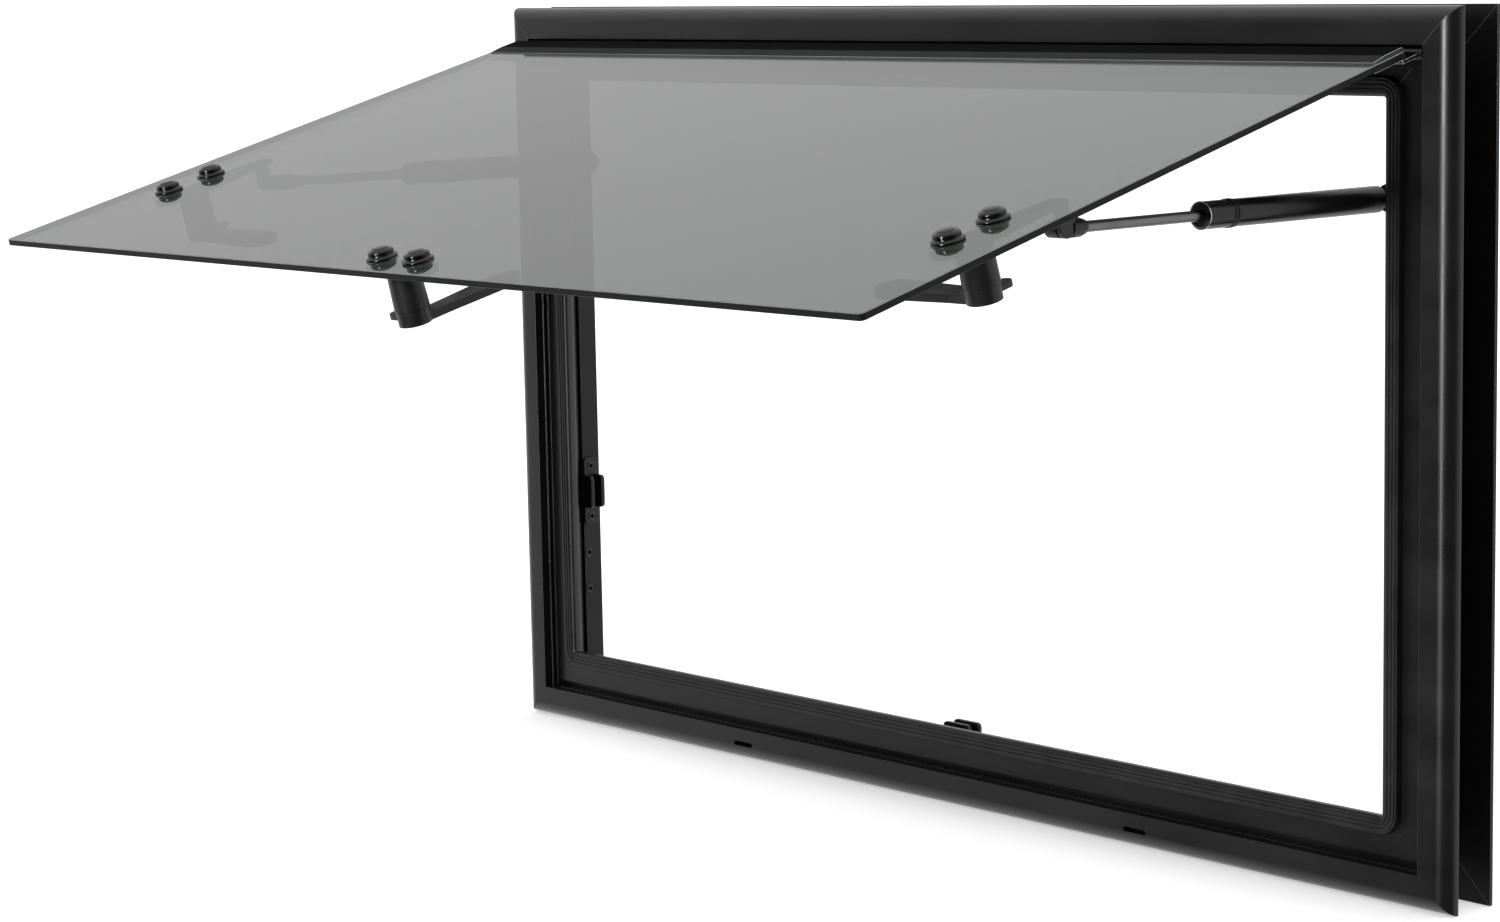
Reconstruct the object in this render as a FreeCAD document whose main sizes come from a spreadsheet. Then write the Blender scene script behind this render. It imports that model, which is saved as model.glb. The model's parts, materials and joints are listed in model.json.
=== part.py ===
import FreeCAD, Part
import math
import operator
import os
import Sketcher

# A top-hung caravan window: a mitred hollow frame in a wall cut-out, a clamp ring behind the wall,
# and a frameless tinted pane that two gas struts hold open. Millimetres and degrees.
# X runs across, Y into the wall and Z up, from the back of the sill's flange at mid width.
SIZES = (
    ("overall_width", "812", "outer width of the frame"),
    ("overall_height", "500", "outer height of the frame"),
    ("origin_rise", "10", "height of the origin over the frame's lower edge"),
    ("frame_wall", "2", "wall of the frame's extrusion"),
    ("flange_depth", "10", "depth of the flange, and the radius of its nose"),
    ("flange_face", "21", "width of the flange's face"),
    ("groove_width", "5", "width of the water groove"),
    ("groove_depth", "13", "depth of the water groove's floor from the front"),
    ("rib_size", "0.9", "height and thickness of the two ribs on the groove's side"),
    ("upper_rib_depth", "6.6", "depth of the front rib"),
    ("lower_rib_depth", "11", "depth of the rear rib"),
    ("fin_depth", "8.5", "depth of the fin's front face"),
    ("fin_inset", "47.5", "inset of the fin's edge"),
    ("leg_inset", "35", "inset of the inner face of the frame's leg"),
    ("leg_depth", "34", "depth of the end of the frame's leg"),
    ("slot_length", "18", "length of a drain slot"),
    ("slot_width", "3", "width of a drain slot"),
    ("slot_inset", "11", "inset of a drain slot's middle"),
    ("slot_spacing", "350", "distance between the two drain slots"),
    ("seal_outer", "41", "inset of the seal's outer edge"),
    ("seal_width", "10", "width of the seal"),
    ("seal_front", "1.5", "depth of the seal's front face"),
    ("seal_back", "12.5", "depth of the seal's back face"),
    ("seal_grip", "0.1", "clearance of the seal's slot round the fin"),
    ("seal_bevel", "2", "bevel of the seal's edges"),
    ("seal_bend", "6", "inner radius of the seal at a corner"),
    ("ring_room", "4.5", "room between the end of the frame's leg and the clamp ring's plate"),
    ("ring_plate", "2.5", "thickness of the clamp ring's plate"),
    ("ring_wall", "2", "thickness of the clamp ring's leg"),
    ("ring_gap", "0.3", "gap between the two legs"),
    ("ring_lap", "8", "lap of the two legs"),
    ("hinge_inset", "26", "inset of the hinge axis"),
    ("hinge_depth", "4.3", "depth of the hinge axis"),
    ("open_angle", "75", "angle by which the pane stands open"),
    ("bead_radius", "2.6", "radius of the hinge bead"),
    ("bead_gap", "0.2", "running gap round the bead"),
    ("channel_wall", "1.2", "wall of the hinge channel"),
    ("channel_foot", "8", "width of the channel's foot"),
    ("mouth_margin", "25", "angle of the channel's mouth past the neck's travel"),
    ("hinge_stop", "3", "thickness of a hinge end stop"),
    ("pane_side", "22", "distance of the pane's sides from the frame's outer sides"),
    ("pane_start", "16", "distance of the pane's upper edge from the hinge axis"),
    ("pane_end", "435.7", "distance of the pane's lower edge from the hinge axis"),
    ("pane_thick", "4", "thickness of the pane"),
    ("pane_lift", "2.6", "height of the pane's inner face over the hinge axis"),
    ("pane_corner", "3", "corner radius of the pane"),
    ("pane_arris", "0.4", "ground arris on the pane's edges"),
    ("leaf_lip", "1.5", "thickness of the hinge leaf's lips"),
    ("leaf_reach", "24", "lap of the hinge leaf over the pane"),
    ("leaf_slope", "10", "width of the sloping end of the outer lip"),
    ("leaf_edge", "0.6", "thickness of the outer lip's end"),
    ("leaf_web", "2", "thickness of the hinge leaf's web and neck"),
    ("latch_inset", "60", "distance of the side latches from the frame's outer sides"),
    ("latch_drop", "320", "distance of the side latches from the hinge axis"),
    ("lower_latch_inset", "19.7", "distance of the lower latch from the pane's lower edge"),
    ("bolt_spacing", "33", "distance between a latch's two bolts"),
    ("bolt_shank", "6", "diameter of a bolt"),
    ("bolt_hole", "8", "diameter of a bolt hole in the pane"),
    ("cap_width", "17", "width over the flats of a bolt's cap"),
    ("cap_step", "4.6", "height of the cap's wide foot"),
    ("cap_bevel", "1.4", "bevel of the cap's edges"),
    ("cap_crown", "12", "width over the flats of the cap's crown"),
    ("cap_height", "8.5", "height of a bolt's cap"),
    ("plate_radius", "10", "radius of a latch plate's ends"),
    ("plate_thick", "3", "thickness of a latch plate"),
    ("post_root", "9.4", "radius of a latch post at the pane"),
    ("post_radius", "10", "radius of a latch post at the lever"),
    ("post_height", "24", "height of a latch post from the pane"),
    ("pin_radius", "4", "radius of the lever's pin"),
    ("pin_length", "12", "length of the lever's pin"),
    ("pin_gap", "0.06", "running gap round the lever's pin"),
    ("lever_gap", "0.3", "gap between the post and the lever"),
    ("hub_radius", "9.5", "radius of the lever's hub"),
    ("hub_height", "8.5", "height of the lever's hub"),
    ("handle_reach", "74", "reach of the lever's handle"),
    ("handle_root", "7", "half width of the handle at its root"),
    ("handle_tip", "9.5", "half width of the handle's paddle"),
    ("handle_corner", "6", "bevel of the paddle's corners"),
    ("handle_web", "2.6", "web between the handle and the hub"),
    ("handle_thick", "4.5", "thickness of the handle"),
    ("hook_reach", "19", "reach of the lever's hook"),
    ("hook_half", "5.5", "half width of the hook"),
    ("hook_thick", "3", "thickness of the hook"),
    ("hook_start", "3", "height of the hook's near face over the hub's near end"),
    ("strut_inset", "60", "distance of the gas struts from the frame's outer sides"),
    ("strut_drop", "262", "distance of the strut's pane pivot from the hinge axis"),
    ("strut_hang", "12.5", "distance of the strut's pane pivot below the hinge axis"),
    ("strut_setback", "4", "distance of the strut's frame pivot in front of the clamp ring's leg"),
    ("strut_foot_drop", "80", "drop from the hinge axis to the strut's frame pivot"),
    ("tube_diameter", "15", "diameter of the strut's tube"),
    ("tube_end", "159", "distance of the tube's end from the frame pivot"),
    ("tube_neck", "34", "distance of the rolled neck from the tube's end"),
    ("neck_depth", "0.8", "depth of the rolled neck"),
    ("rod_diameter", "6", "diameter of the strut's rod"),
    ("eye_radius", "4.5", "radius of a strut's eye"),
    ("eye_half", "4", "half thickness of a strut's eye"),
    ("stud_diameter", "5", "diameter of the studs through the strut's eyes"),
    ("stud_gap", "0.05", "gap of an eye round its stud"),
    ("end_length", "20", "length of the strut's end fittings"),
    ("stem_lap", "1", "lap of an eye's stem and the turned piece that carries it"),
    ("socket_wall", "1", "wall of the rod end's socket at its mouth"),
    ("ear_thick", "3", "thickness of the ears and plates that carry the struts"),
    ("side_gap", "1", "gap between an eye and its ear"),
    ("foot_plate_half", "11", "half length of the strut's frame plate"),
    ("keeper_length", "23", "length of a keeper's lip"),
    ("keeper_plate", "52", "length of a keeper's plate"),
    ("keeper_thick", "1.8", "thickness of a keeper's plate"),
    ("keeper_rise", "5", "height of a keeper's lip"),
    ("keeper_lip", "2.5", "thickness of a keeper's lip"),
    ("keeper_depth", "12", "depth of a keeper from its front edge to its back edge"),
)
OPERATIONS = {"+": operator.add, "-": operator.sub, "*": operator.mul, "/": operator.truediv}
ACROSS = FreeCAD.Vector(1, 0, 0)
UP = FreeCAD.Vector(0, 0, 1)
INWARD = FreeCAD.Vector(0, 1, 0)


class Size:
    """A size that knows its value now and the sheet expression that gives it."""

    def __init__(self, value, text):
        self.value = value
        self.text = text

    def __add__(self, other):
        return joined(self, "+", other)

    def __radd__(self, other):
        return joined(other, "+", self)

    def __sub__(self, other):
        return joined(self, "-", other)

    def __rsub__(self, other):
        return joined(other, "-", self)

    def __mul__(self, other):
        return joined(self, "*", other)

    def __rmul__(self, other):
        return joined(other, "*", self)

    def __truediv__(self, other):
        return joined(self, "/", other)

    def __neg__(self):
        return joined(0, "-", self)


def as_size(value):
    return value if isinstance(value, Size) else Size(float(value), "(%r)" % float(value))


def joined(left, sign, right):
    left, right = as_size(left), as_size(right)
    value = OPERATIONS[sign](left.value, right.value)
    return Size(value, "(%s %s %s)" % (left.text, sign, right.text))


def sine(angle):
    angle = as_size(angle)
    return Size(math.sin(math.radians(angle.value)), "sin(%s)" % angle.text)


def cosine(angle):
    angle = as_size(angle)
    return Size(math.cos(math.radians(angle.value)), "cos(%s)" % angle.text)


def root(size):
    size = as_size(size)
    return Size(math.sqrt(size.value), "sqrt(%s)" % size.text)


def heading(rise, run):
    """The angle whose tangent is rise over run."""
    value = math.degrees(math.atan2(rise.value, run.value))
    return Size(value, "atan2(%s; %s)" % (rise.text, run.text))


def hypotenuse(first, second):
    return root(first * first + second * second)


class Sheet:
    """The spreadsheet of driving sizes, read by their names."""

    def __init__(self, document):
        self.cells = document.addObject("Spreadsheet::Sheet", "Sizes")
        self.values = {}
        for row, (name, value, meaning) in enumerate(SIZES, 1):
            self.cells.set("A%d" % row, name)
            self.cells.set("B%d" % row, value)
            self.cells.set("C%d" % row, meaning)
            self.cells.setAlias("B%d" % row, name)
            self.values[name] = float(value)

    def __getattr__(self, name):
        return Size(self.values[name], "Sizes." + name)


DOCUMENT = FreeCAD.newDocument("CaravanWindow")
S = Sheet(DOCUMENT)
DOCUMENT.recompute()


# Places that several pieces share
SEAL_INNER = S.seal_outer + S.seal_width
RING_INSET = S.leg_inset + S.ring_gap + S.ring_wall
RING_FRONT = S.leg_depth + S.ring_room
RING_BACK = RING_FRONT + S.ring_plate
LEG_START = S.leg_depth - S.ring_lap
KEEPER_BACK = LEG_START + S.keeper_depth
CHANNEL_INNER = S.bead_radius + S.bead_gap
CHANNEL_OUTER = CHANNEL_INNER + S.channel_wall
PANE_WIDTH = S.overall_width - 2 * S.pane_side
LEAF_LENGTH = PANE_WIDTH - 2 * S.hinge_stop
LATCH_SIDE = S.overall_width / 2 - S.latch_inset
LOWER_LATCH_DROP = S.pane_end - S.lower_latch_inset
STRUT_SIDE = S.overall_width / 2 - S.strut_inset
AXIS_Y = S.hinge_depth - S.flange_depth
AXIS_Z = S.overall_height - S.origin_rise - S.hinge_inset
PANE_OUTER = S.pane_lift + S.pane_thick
PIVOT_HEIGHT = S.strut_hang + S.pane_lift
STRUT_FOOT_DEPTH = LEG_START - S.strut_setback
STRUT_FOOT_Z = AXIS_Z - S.strut_foot_drop
STRUT_RUN = (STRUT_FOOT_DEPTH - S.flange_depth - AXIS_Y
             + S.strut_drop * sine(S.open_angle) - S.strut_hang * cosine(S.open_angle))
STRUT_RISE = (S.strut_foot_drop - S.strut_drop * cosine(S.open_angle) - S.strut_hang * sine(S.open_angle))
STRUT_LENGTH = hypotenuse(STRUT_RUN, STRUT_RISE)


def bind(thing, name, size):
    thing.setExpression(name, as_size(size).text)


def place(thing, base, rotation):
    """Put a piece at a point whose coordinates follow the sheet."""
    thing.Placement = FreeCAD.Placement(FreeCAD.Vector(*(as_size(v).value for v in base)), rotation)
    for letter, size in zip("xyz", base):
        bind(thing, "Placement.Base." + letter, size)


def new_body(name):
    body = DOCUMENT.addObject("PartDesign::Body", name)
    body.Label = name
    return body


def sketch_on(body, role, name, offset=0):
    """A sketch on one of the body's own planes, moved along that plane's normal."""
    sketch = body.newObject("Sketcher::SketchObject", body.Name + "_" + name)
    support = next(plane for plane in body.Origin.OriginFeatures if plane.Role == role)
    sketch.AttachmentSupport = [(support, "")]
    sketch.MapMode = "FlatFace"
    bind(sketch, "AttachmentOffset.Base.z", offset)
    return sketch


def fix_point(sketch, edge, end, x, y):
    for axis, size in (("DistanceX", x), ("DistanceY", y)):
        index = sketch.addConstraint(Sketcher.Constraint(axis, edge, end, size.value))
        bind(sketch, "Constraints[%d]" % index, size)


def draw(sketch, corners, closed=True):
    """Draw an outline, or an open path. A corner is (x, y), reached by a line, or (x, y, centre x, centre y, turn),
    reached by an arc about that centre, to the left for 1 and to the right for -1."""
    corners = [tuple(as_size(v) for v in corner[:4]) + tuple(corner[4:]) for corner in corners]
    edges = []
    steps = list(zip(corners[-1:] + corners[:-1], corners))
    if not closed:
        del steps[0]
    for last, corner in steps:
        start = FreeCAD.Vector(last[0].value, last[1].value)
        end = FreeCAD.Vector(corner[0].value, corner[1].value)
        if len(corner) == 2:
            edges.append((sketch.addGeometry(Part.LineSegment(start, end), False), 1, 2))
            continue
        centre = FreeCAD.Vector(corner[2].value, corner[3].value)
        first, second = (start, end) if corner[4] > 0 else (end, start)
        angles = [math.atan2(point.y - centre.y, point.x - centre.x) for point in (first, second)]
        circle = Part.Circle(centre, UP, (start - centre).Length)
        edge = sketch.addGeometry(Part.ArcOfCircle(circle, *angles), False)
        edges.append((edge, 1, 2) if corner[4] > 0 else (edge, 2, 1))
        axis, size = ("DistanceY", corner[3]) if abs(end.x - start.x) > abs(end.y - start.y) \
            else ("DistanceX", corner[2])
        index = sketch.addConstraint(Sketcher.Constraint(axis, edge, 3, size.value))
        bind(sketch, "Constraints[%d]" % index, size)
    for (edge, _, out), (following, into, _) in zip(edges, edges[1:] + edges[:closed]):
        sketch.addConstraint(Sketcher.Constraint("Coincident", edge, out, following, into))
    for (edge, _, out), (_, corner) in zip(edges, steps):
        fix_point(sketch, edge, out, corner[0], corner[1])
    if not closed:
        fix_point(sketch, edges[0][0], edges[0][1], corners[0][0], corners[0][1])


def draw_circle(sketch, x, y, radius):
    x, y, radius = as_size(x), as_size(y), as_size(radius)
    circle = Part.Circle(FreeCAD.Vector(x.value, y.value), UP, radius.value)
    edge = sketch.addGeometry(circle, False)
    fix_point(sketch, edge, 3, x, y)
    index = sketch.addConstraint(Sketcher.Constraint("Radius", edge, radius.value))
    bind(sketch, "Constraints[%d]" % index, radius)


def rounded_rectangle(low_x, low_y, high_x, high_y, radius):
    return [
        (high_x - radius, low_y),
        (high_x, low_y + radius, high_x - radius, low_y + radius, 1),
        (high_x, high_y - radius),
        (high_x - radius, high_y, high_x - radius, high_y - radius, 1),
        (low_x + radius, high_y),
        (low_x, high_y - radius, low_x + radius, high_y - radius, 1),
        (low_x, low_y + radius),
        (low_x + radius, low_y, low_x + radius, low_y + radius, 1),
    ]


def obround(x, low_y, high_y, radius):
    """An upright slot shape about x, between two end centres."""
    return [
        (x + radius, high_y),
        (x - radius, high_y, x, high_y, 1),
        (x - radius, low_y),
        (x + radius, low_y, x, low_y, 1),
    ]


def turned(corners, quarters):
    """An outline turned to the left about the origin by quarter turns."""
    for _ in range(quarters):
        corners = [(-c[1], c[0]) + ((-c[3], c[2], c[4]) if len(c) > 2 else ()) for c in corners]
    return corners


def pad(body, sketch, length, reverse=False):
    feature = body.newObject("PartDesign::Pad", sketch.Name + "_pad")
    feature.Profile = sketch
    bind(feature, "Length", length)
    feature.Reversed = reverse
    sketch.Visibility = False
    return feature


def revolve(body, sketch):
    feature = body.newObject("PartDesign::Revolution", sketch.Name + "_turned")
    feature.Profile = sketch
    feature.ReferenceAxis = (sketch, ["V_Axis"])
    feature.Angle = 360
    return feature


def pocket(body, sketch, length, reverse=False):
    """Cut a sketch's outline from the body, and make sure that it took something away."""
    DOCUMENT.recompute()
    before = body.Shape.Volume
    feature = body.newObject("PartDesign::Pocket", sketch.Name + "_pocket")
    feature.Profile = sketch
    bind(feature, "Length", length)
    feature.Reversed = reverse
    DOCUMENT.recompute()
    if not body.Shape.Volume < before:
        raise RuntimeError(feature.Name + " cut nothing")
    return feature


def edges_where(shape, test):
    return ["Edge%d" % (index + 1) for index, edge in enumerate(shape.Edges) if test(edge)]


def round_edges(body, kind, size, test):
    """Fillet or chamfer the edges of the body's last feature that pass a test."""
    DOCUMENT.recompute()
    tip = body.Tip
    names = edges_where(tip.Shape, test)
    if not names:
        raise RuntimeError(body.Name + " has no edge to work on")
    feature = body.newObject("PartDesign::" + kind, "%s_%s_%d" % (body.Name, kind, len(body.Group)))
    feature.Base = (tip, names)
    bind(feature, "Radius" if kind == "Fillet" else "Size", size)
    return feature


def at_height(edge, size):
    """Whether an edge lies wholly at one height of its body."""
    box = edge.BoundBox
    return abs(box.ZMin - as_size(size).value) < 1e-4 and abs(box.ZMax - as_size(size).value) < 1e-4


# Each side's own frame has X along the rail, Y inwards from the outer edge and Z into the wall
def side_frame(side):
    half = S.overall_width / 2
    low = -S.origin_rise
    high = S.overall_height - S.origin_rise
    along, inset, corner = {
        "sill": (-ACROSS, UP, (half, low)),
        "head": (ACROSS, -UP, (-half, high)),
        "left": (UP, ACROSS, (-half, low)),
        "right": (-UP, -ACROSS, (half, high)),
    }[side]
    rotation = FreeCAD.Rotation(along, inset, INWARD, "XYZ")
    return (corner[0], -S.flange_depth, corner[1]), rotation


def side_length(side):
    return S.overall_width if side in ("sill", "head") else S.overall_height


def cut_mitres(body, length, reach, depth):
    """Cut both ends of a rail at 45 degrees."""
    sketch = sketch_on(body, "XY_Plane", "mitres")
    draw(sketch, [(0, 0), (reach, reach), (0, reach)])
    draw(sketch, [(length, 0), (length, reach), (length - reach, reach)])
    pocket(body, sketch, depth, reverse=True)


def rib(depth):
    """A small rib on the groove's side, from its front to its back."""
    edge = S.flange_face + S.rib_size
    return [(S.flange_face, depth), (edge, depth), (edge, depth + S.rib_size),
            (S.flange_face, depth + S.rib_size)]


def frame_rail(name, side):
    """A hollow bull-nosed flange, a ribbed water groove, the seal's fin and the leg through the wall."""
    groove_end = S.flange_face + S.groove_width
    nose = S.flange_depth
    fin_back = S.fin_depth + S.frame_wall
    leg_outer = S.leg_inset - S.frame_wall
    outline = [
        (0, nose), (nose, 0, nose, nose, 1),
        (S.flange_face, 0)]
    outline += rib(S.upper_rib_depth) + rib(S.lower_rib_depth)
    outline += [
        (S.flange_face, S.groove_depth), (groove_end, S.groove_depth),
        (groove_end, S.fin_depth), (S.fin_inset, S.fin_depth), (S.fin_inset, fin_back),
        (S.leg_inset, fin_back), (S.leg_inset, S.leg_depth), (leg_outer, S.leg_depth),
        (leg_outer, fin_back), (groove_end + S.frame_wall, fin_back),
        (groove_end + S.frame_wall, S.groove_depth + S.frame_wall),
        (S.flange_face - S.frame_wall, S.groove_depth + S.frame_wall),
        (S.flange_face - S.frame_wall, nose)]
    inner = nose - S.frame_wall
    chamber = [
        (nose - root(inner * inner - S.frame_wall * S.frame_wall), nose - S.frame_wall),
        (nose, S.frame_wall, nose, nose, 1),
        (S.flange_face - S.frame_wall, S.frame_wall),
        (S.flange_face - S.frame_wall, nose - S.frame_wall)]
    body = new_body(name)
    length = side_length(side)
    section = sketch_on(body, "YZ_Plane", "section")
    draw(section, outline)
    draw(section, chamber)
    pad(body, section, length)
    cut_mitres(body, length, SEAL_INNER, S.leg_depth + S.frame_wall)
    if side == "sill":
        cut_drain_slots(body, length)
    place(body, *side_frame(side))


def cut_drain_slots(body, length):
    sketch = sketch_on(body, "XY_Plane", "drains")
    radius = S.slot_width / 2
    run = S.slot_length / 2 - radius
    for sign in (-1, 1):
        middle = length / 2 + sign * S.slot_spacing / 2
        draw(sketch, [
            (middle + run, S.slot_inset - radius),
            (middle + run, S.slot_inset + radius, middle + run, S.slot_inset, 1),
            (middle - run, S.slot_inset + radius),
            (middle - run, S.slot_inset - radius, middle - run, S.slot_inset, 1)])
    pocket(body, sketch, S.frame_wall * 1.5, reverse=True)


def clamp_rail(name, side):
    """One side of the ring that clamps the wall from behind."""
    body = new_body(name)
    length = side_length(side)
    section = sketch_on(body, "YZ_Plane", "section")
    draw(section, [
        (0, RING_FRONT), (RING_INSET - S.ring_wall, RING_FRONT),
        (RING_INSET - S.ring_wall, LEG_START), (RING_INSET, LEG_START), (RING_INSET, RING_BACK),
        (0, RING_BACK)])
    pad(body, section, length)
    cut_mitres(body, length, RING_INSET + S.ring_wall, RING_BACK + S.ring_wall)
    place(body, *side_frame(side))


def seal_rail(name, side):
    """One side of the rubber seal pushed on the fin, with half of each rounded corner."""
    body = new_body(name)
    length = side_length(side)
    swing = S.seal_width + S.seal_bend
    centre = S.seal_outer + swing
    middle = centre - swing * cosine(45)
    path = sketch_on(body, "XY_Plane", "path")
    draw(path, [
        (middle, middle), (centre, S.seal_outer, centre, centre, 1), (length - centre, S.seal_outer),
        (length - middle, middle, length - centre, centre, 1)], closed=False)
    section = sketch_on(body, "YZ_Plane", "section", length / 2)
    bend = S.seal_bevel
    front, back, low = S.seal_front, S.seal_back, S.seal_outer
    slot_low = S.fin_depth - S.seal_grip
    slot_high = S.fin_depth + S.frame_wall + S.seal_grip
    slot_end = S.fin_inset + S.seal_grip * 4
    waist = front + bend * 2
    draw(section, [
        (low, slot_low), (low, front + bend), (low + bend, front),
        (SEAL_INNER - bend, front), (SEAL_INNER, front + bend),
        (SEAL_INNER - bend / 2, waist), (SEAL_INNER, waist + bend),
        (SEAL_INNER, back - bend), (SEAL_INNER - bend, back),
        (low + bend * 1.5, back),
        (low + bend * 1.5, slot_high),
        (slot_end, slot_high), (slot_end, slot_low)])
    sweep = body.newObject("PartDesign::AdditivePipe", name + "_sweep")
    sweep.Profile = section
    sweep.Spine = (path, [])
    place(body, *side_frame(side))


def on_circle(angle, radius):
    """A point about the hinge axis in the head's frame."""
    return S.hinge_inset + radius * cosine(angle), S.hinge_depth + radius * sine(angle)


def hinge_channel():
    """The fixed channel that the pane's bead turns in, open over the neck's travel."""
    body = new_body("hinge_channel")
    section = sketch_on(body, "YZ_Plane", "section", (S.overall_width - LEAF_LENGTH) / 2)
    centre = (S.hinge_inset, S.hinge_depth)
    foot_front = S.fin_depth - S.channel_wall
    drop = foot_front - S.hinge_depth
    side = CHANNEL_OUTER / 2
    shut = S.mouth_margin
    wide = -(S.open_angle + S.mouth_margin)
    draw(section, [
        on_circle(shut, CHANNEL_INNER),
        on_circle(shut, CHANNEL_OUTER),
        (S.hinge_inset + root(CHANNEL_OUTER * CHANNEL_OUTER - drop * drop), foot_front) + centre + (1,),
        (S.hinge_inset + S.channel_foot, foot_front),
        (S.hinge_inset + S.channel_foot, S.fin_depth),
        (S.hinge_inset, S.fin_depth),
        (S.hinge_inset - side, S.hinge_depth + root(CHANNEL_OUTER * CHANNEL_OUTER - side * side)),
        on_circle(wide, CHANNEL_OUTER) + centre + (1,),
        on_circle(wide, CHANNEL_INNER),
        on_circle(shut, CHANNEL_INNER) + centre + (-1,)][1:])
    pad(body, section, LEAF_LENGTH)
    place(body, *side_frame("head"))


def hinge_end(name, start):
    """A stop that closes one end of the hinge channel."""
    body = new_body(name)
    section = sketch_on(body, "YZ_Plane", "section", start)
    near, far = S.hinge_inset - CHANNEL_OUTER, S.hinge_inset + CHANNEL_OUTER
    draw(section, [
        (far, S.fin_depth), (near, S.fin_depth), (near, S.hinge_depth),
        (far, S.hinge_depth, S.hinge_inset, S.hinge_depth, 1)])
    pad(body, section, S.hinge_stop)
    place(body, *side_frame("head"))


# The pane's own frame has X across, Y down the pane from the hinge axis and Z towards the inside
def place_on_pane(thing, x=0, down=0, inward=0):
    swing, lean = sine(S.open_angle), cosine(S.open_angle)
    base = (as_size(x), AXIS_Y - down * swing + inward * lean, AXIS_Z - down * lean - inward * swing)
    place(thing, base, FreeCAD.Rotation(ACROSS, 270 - S.open_angle.value))
    bind(thing, "Placement.Rotation.Angle", 270 - S.open_angle)


def hinge_leaf():
    """The extrusion that grips the pane's upper edge, with a bead along the hinge axis."""
    body = new_body("hinge_leaf")
    section = sketch_on(body, "YZ_Plane", "section", -LEAF_LENGTH / 2)
    neck = S.leaf_web / 2
    neck_start = root(S.bead_radius * S.bead_radius - neck * neck)
    web = S.pane_start - S.leaf_web
    lap = S.pane_start + S.leaf_reach
    inner = -(S.pane_lift - S.leaf_lip)
    outer = -(PANE_OUTER + S.leaf_lip)
    nose = S.leaf_lip
    draw(section, [
        (neck_start, -neck, 0, 0, -1),
        (web, -neck),
        (web, outer + nose),
        (web + nose, outer, web + nose, outer + nose, 1),
        (lap - S.leaf_slope, outer),
        (lap, -PANE_OUTER - S.leaf_edge), (lap, -PANE_OUTER),
        (S.pane_start, -PANE_OUTER), (S.pane_start, -S.pane_lift),
        (lap, -S.pane_lift), (lap, inner), (S.pane_start, inner),
        (S.pane_start, neck), (neck_start, neck)])
    pad(body, section, LEAF_LENGTH)
    place_on_pane(body)


def bolt_places(name):
    """The two bolts of a latch, across and down the pane from its post."""
    half = S.bolt_spacing / 2
    return [(-half, 0), (half, 0)] if name == "lower" else [(0, -half), (0, half)]


def latch_place(name):
    """Where a latch's post stands on the pane."""
    return {
        "left": (-LATCH_SIDE, S.latch_drop),
        "right": (LATCH_SIDE, S.latch_drop),
        "lower": (as_size(0), LOWER_LATCH_DROP),
    }[name]


def glass_pane():
    body = new_body("glass_pane")
    half = PANE_WIDTH / 2
    outline = sketch_on(body, "XY_Plane", "outline", -PANE_OUTER)
    draw(outline, rounded_rectangle(-half, S.pane_start, half, S.pane_end, S.pane_corner))
    pad(body, outline, S.pane_thick)
    round_edges(body, "Chamfer", S.pane_arris,
                lambda edge: at_height(edge, -PANE_OUTER) or at_height(edge, -S.pane_lift))
    holes = sketch_on(body, "XY_Plane", "bolt_holes", -PANE_OUTER)
    for name in ("left", "right", "lower"):
        x, down = latch_place(name)
        for across, along in bolt_places(name):
            draw_circle(holes, x + across, down + along, S.bolt_hole / 2)
    pocket(body, holes, S.pane_thick, reverse=True)
    place_on_pane(body)


def octagon(x, y, flats):
    """An octagon about a point, with flats square to X and Y."""
    reach = flats / 2 / cosine(22.5)
    return [(x + reach * cosine(45 * step + 22.5), y + reach * sine(45 * step + 22.5))
            for step in range(8)]


def bolt_caps(name):
    """The capped heads of a latch's two bolts outside the pane, with their shanks through it."""
    body = new_body(name + "_bolt_caps")
    foot = sketch_on(body, "XY_Plane", "foot", -S.cap_step)
    shank = sketch_on(body, "XY_Plane", "shank")
    crown = sketch_on(body, "XY_Plane", "crown", -S.cap_height)
    for x, y in bolt_places(name):
        draw(foot, octagon(as_size(x), as_size(y), S.cap_width))
        draw_circle(shank, x, y, S.bolt_shank / 2)
        draw(crown, octagon(as_size(x), as_size(y), S.cap_crown))
    pad(body, foot, S.cap_step)
    round_edges(body, "Chamfer", S.cap_bevel,
                lambda edge: at_height(edge, -S.cap_step) or at_height(edge, 0))
    pad(body, shank, S.pane_thick)
    pad(body, crown, S.cap_height - S.cap_step / 2)
    round_edges(body, "Chamfer", S.cap_bevel * 0.7, lambda edge: at_height(edge, -S.cap_height))
    x, down = latch_place(name)
    place_on_pane(body, x, down, -PANE_OUTER)


def latch_bracket(name):
    """A plate under two bolts with the lever's post, and on a side latch the arm that the strut lifts."""
    body = new_body(name + "_latch_bracket")
    half = S.bolt_spacing / 2
    plate = sketch_on(body, "XY_Plane", "plate")
    draw(plate, turned(obround(as_size(0), -half, half, S.plate_radius), 1 if name == "lower" else 0))
    pad(body, plate, S.plate_thick)
    if name != "lower":
        add_strut_ear(body, 1 if name == "right" else -1)
    post = sketch_on(body, "XZ_Plane", "post")
    draw(post, [(0, 0), (S.post_root, 0), (S.post_radius, S.post_height), (0, S.post_height)])
    revolve(body, post)
    bore = sketch_on(body, "XY_Plane", "bore", S.post_height)
    draw_circle(bore, 0, 0, S.pin_radius + S.pin_gap)
    pocket(body, bore, S.pin_length + S.lever_gap)
    x, down = latch_place(name)
    place_on_pane(body, x, down, -S.pane_lift)


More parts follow.
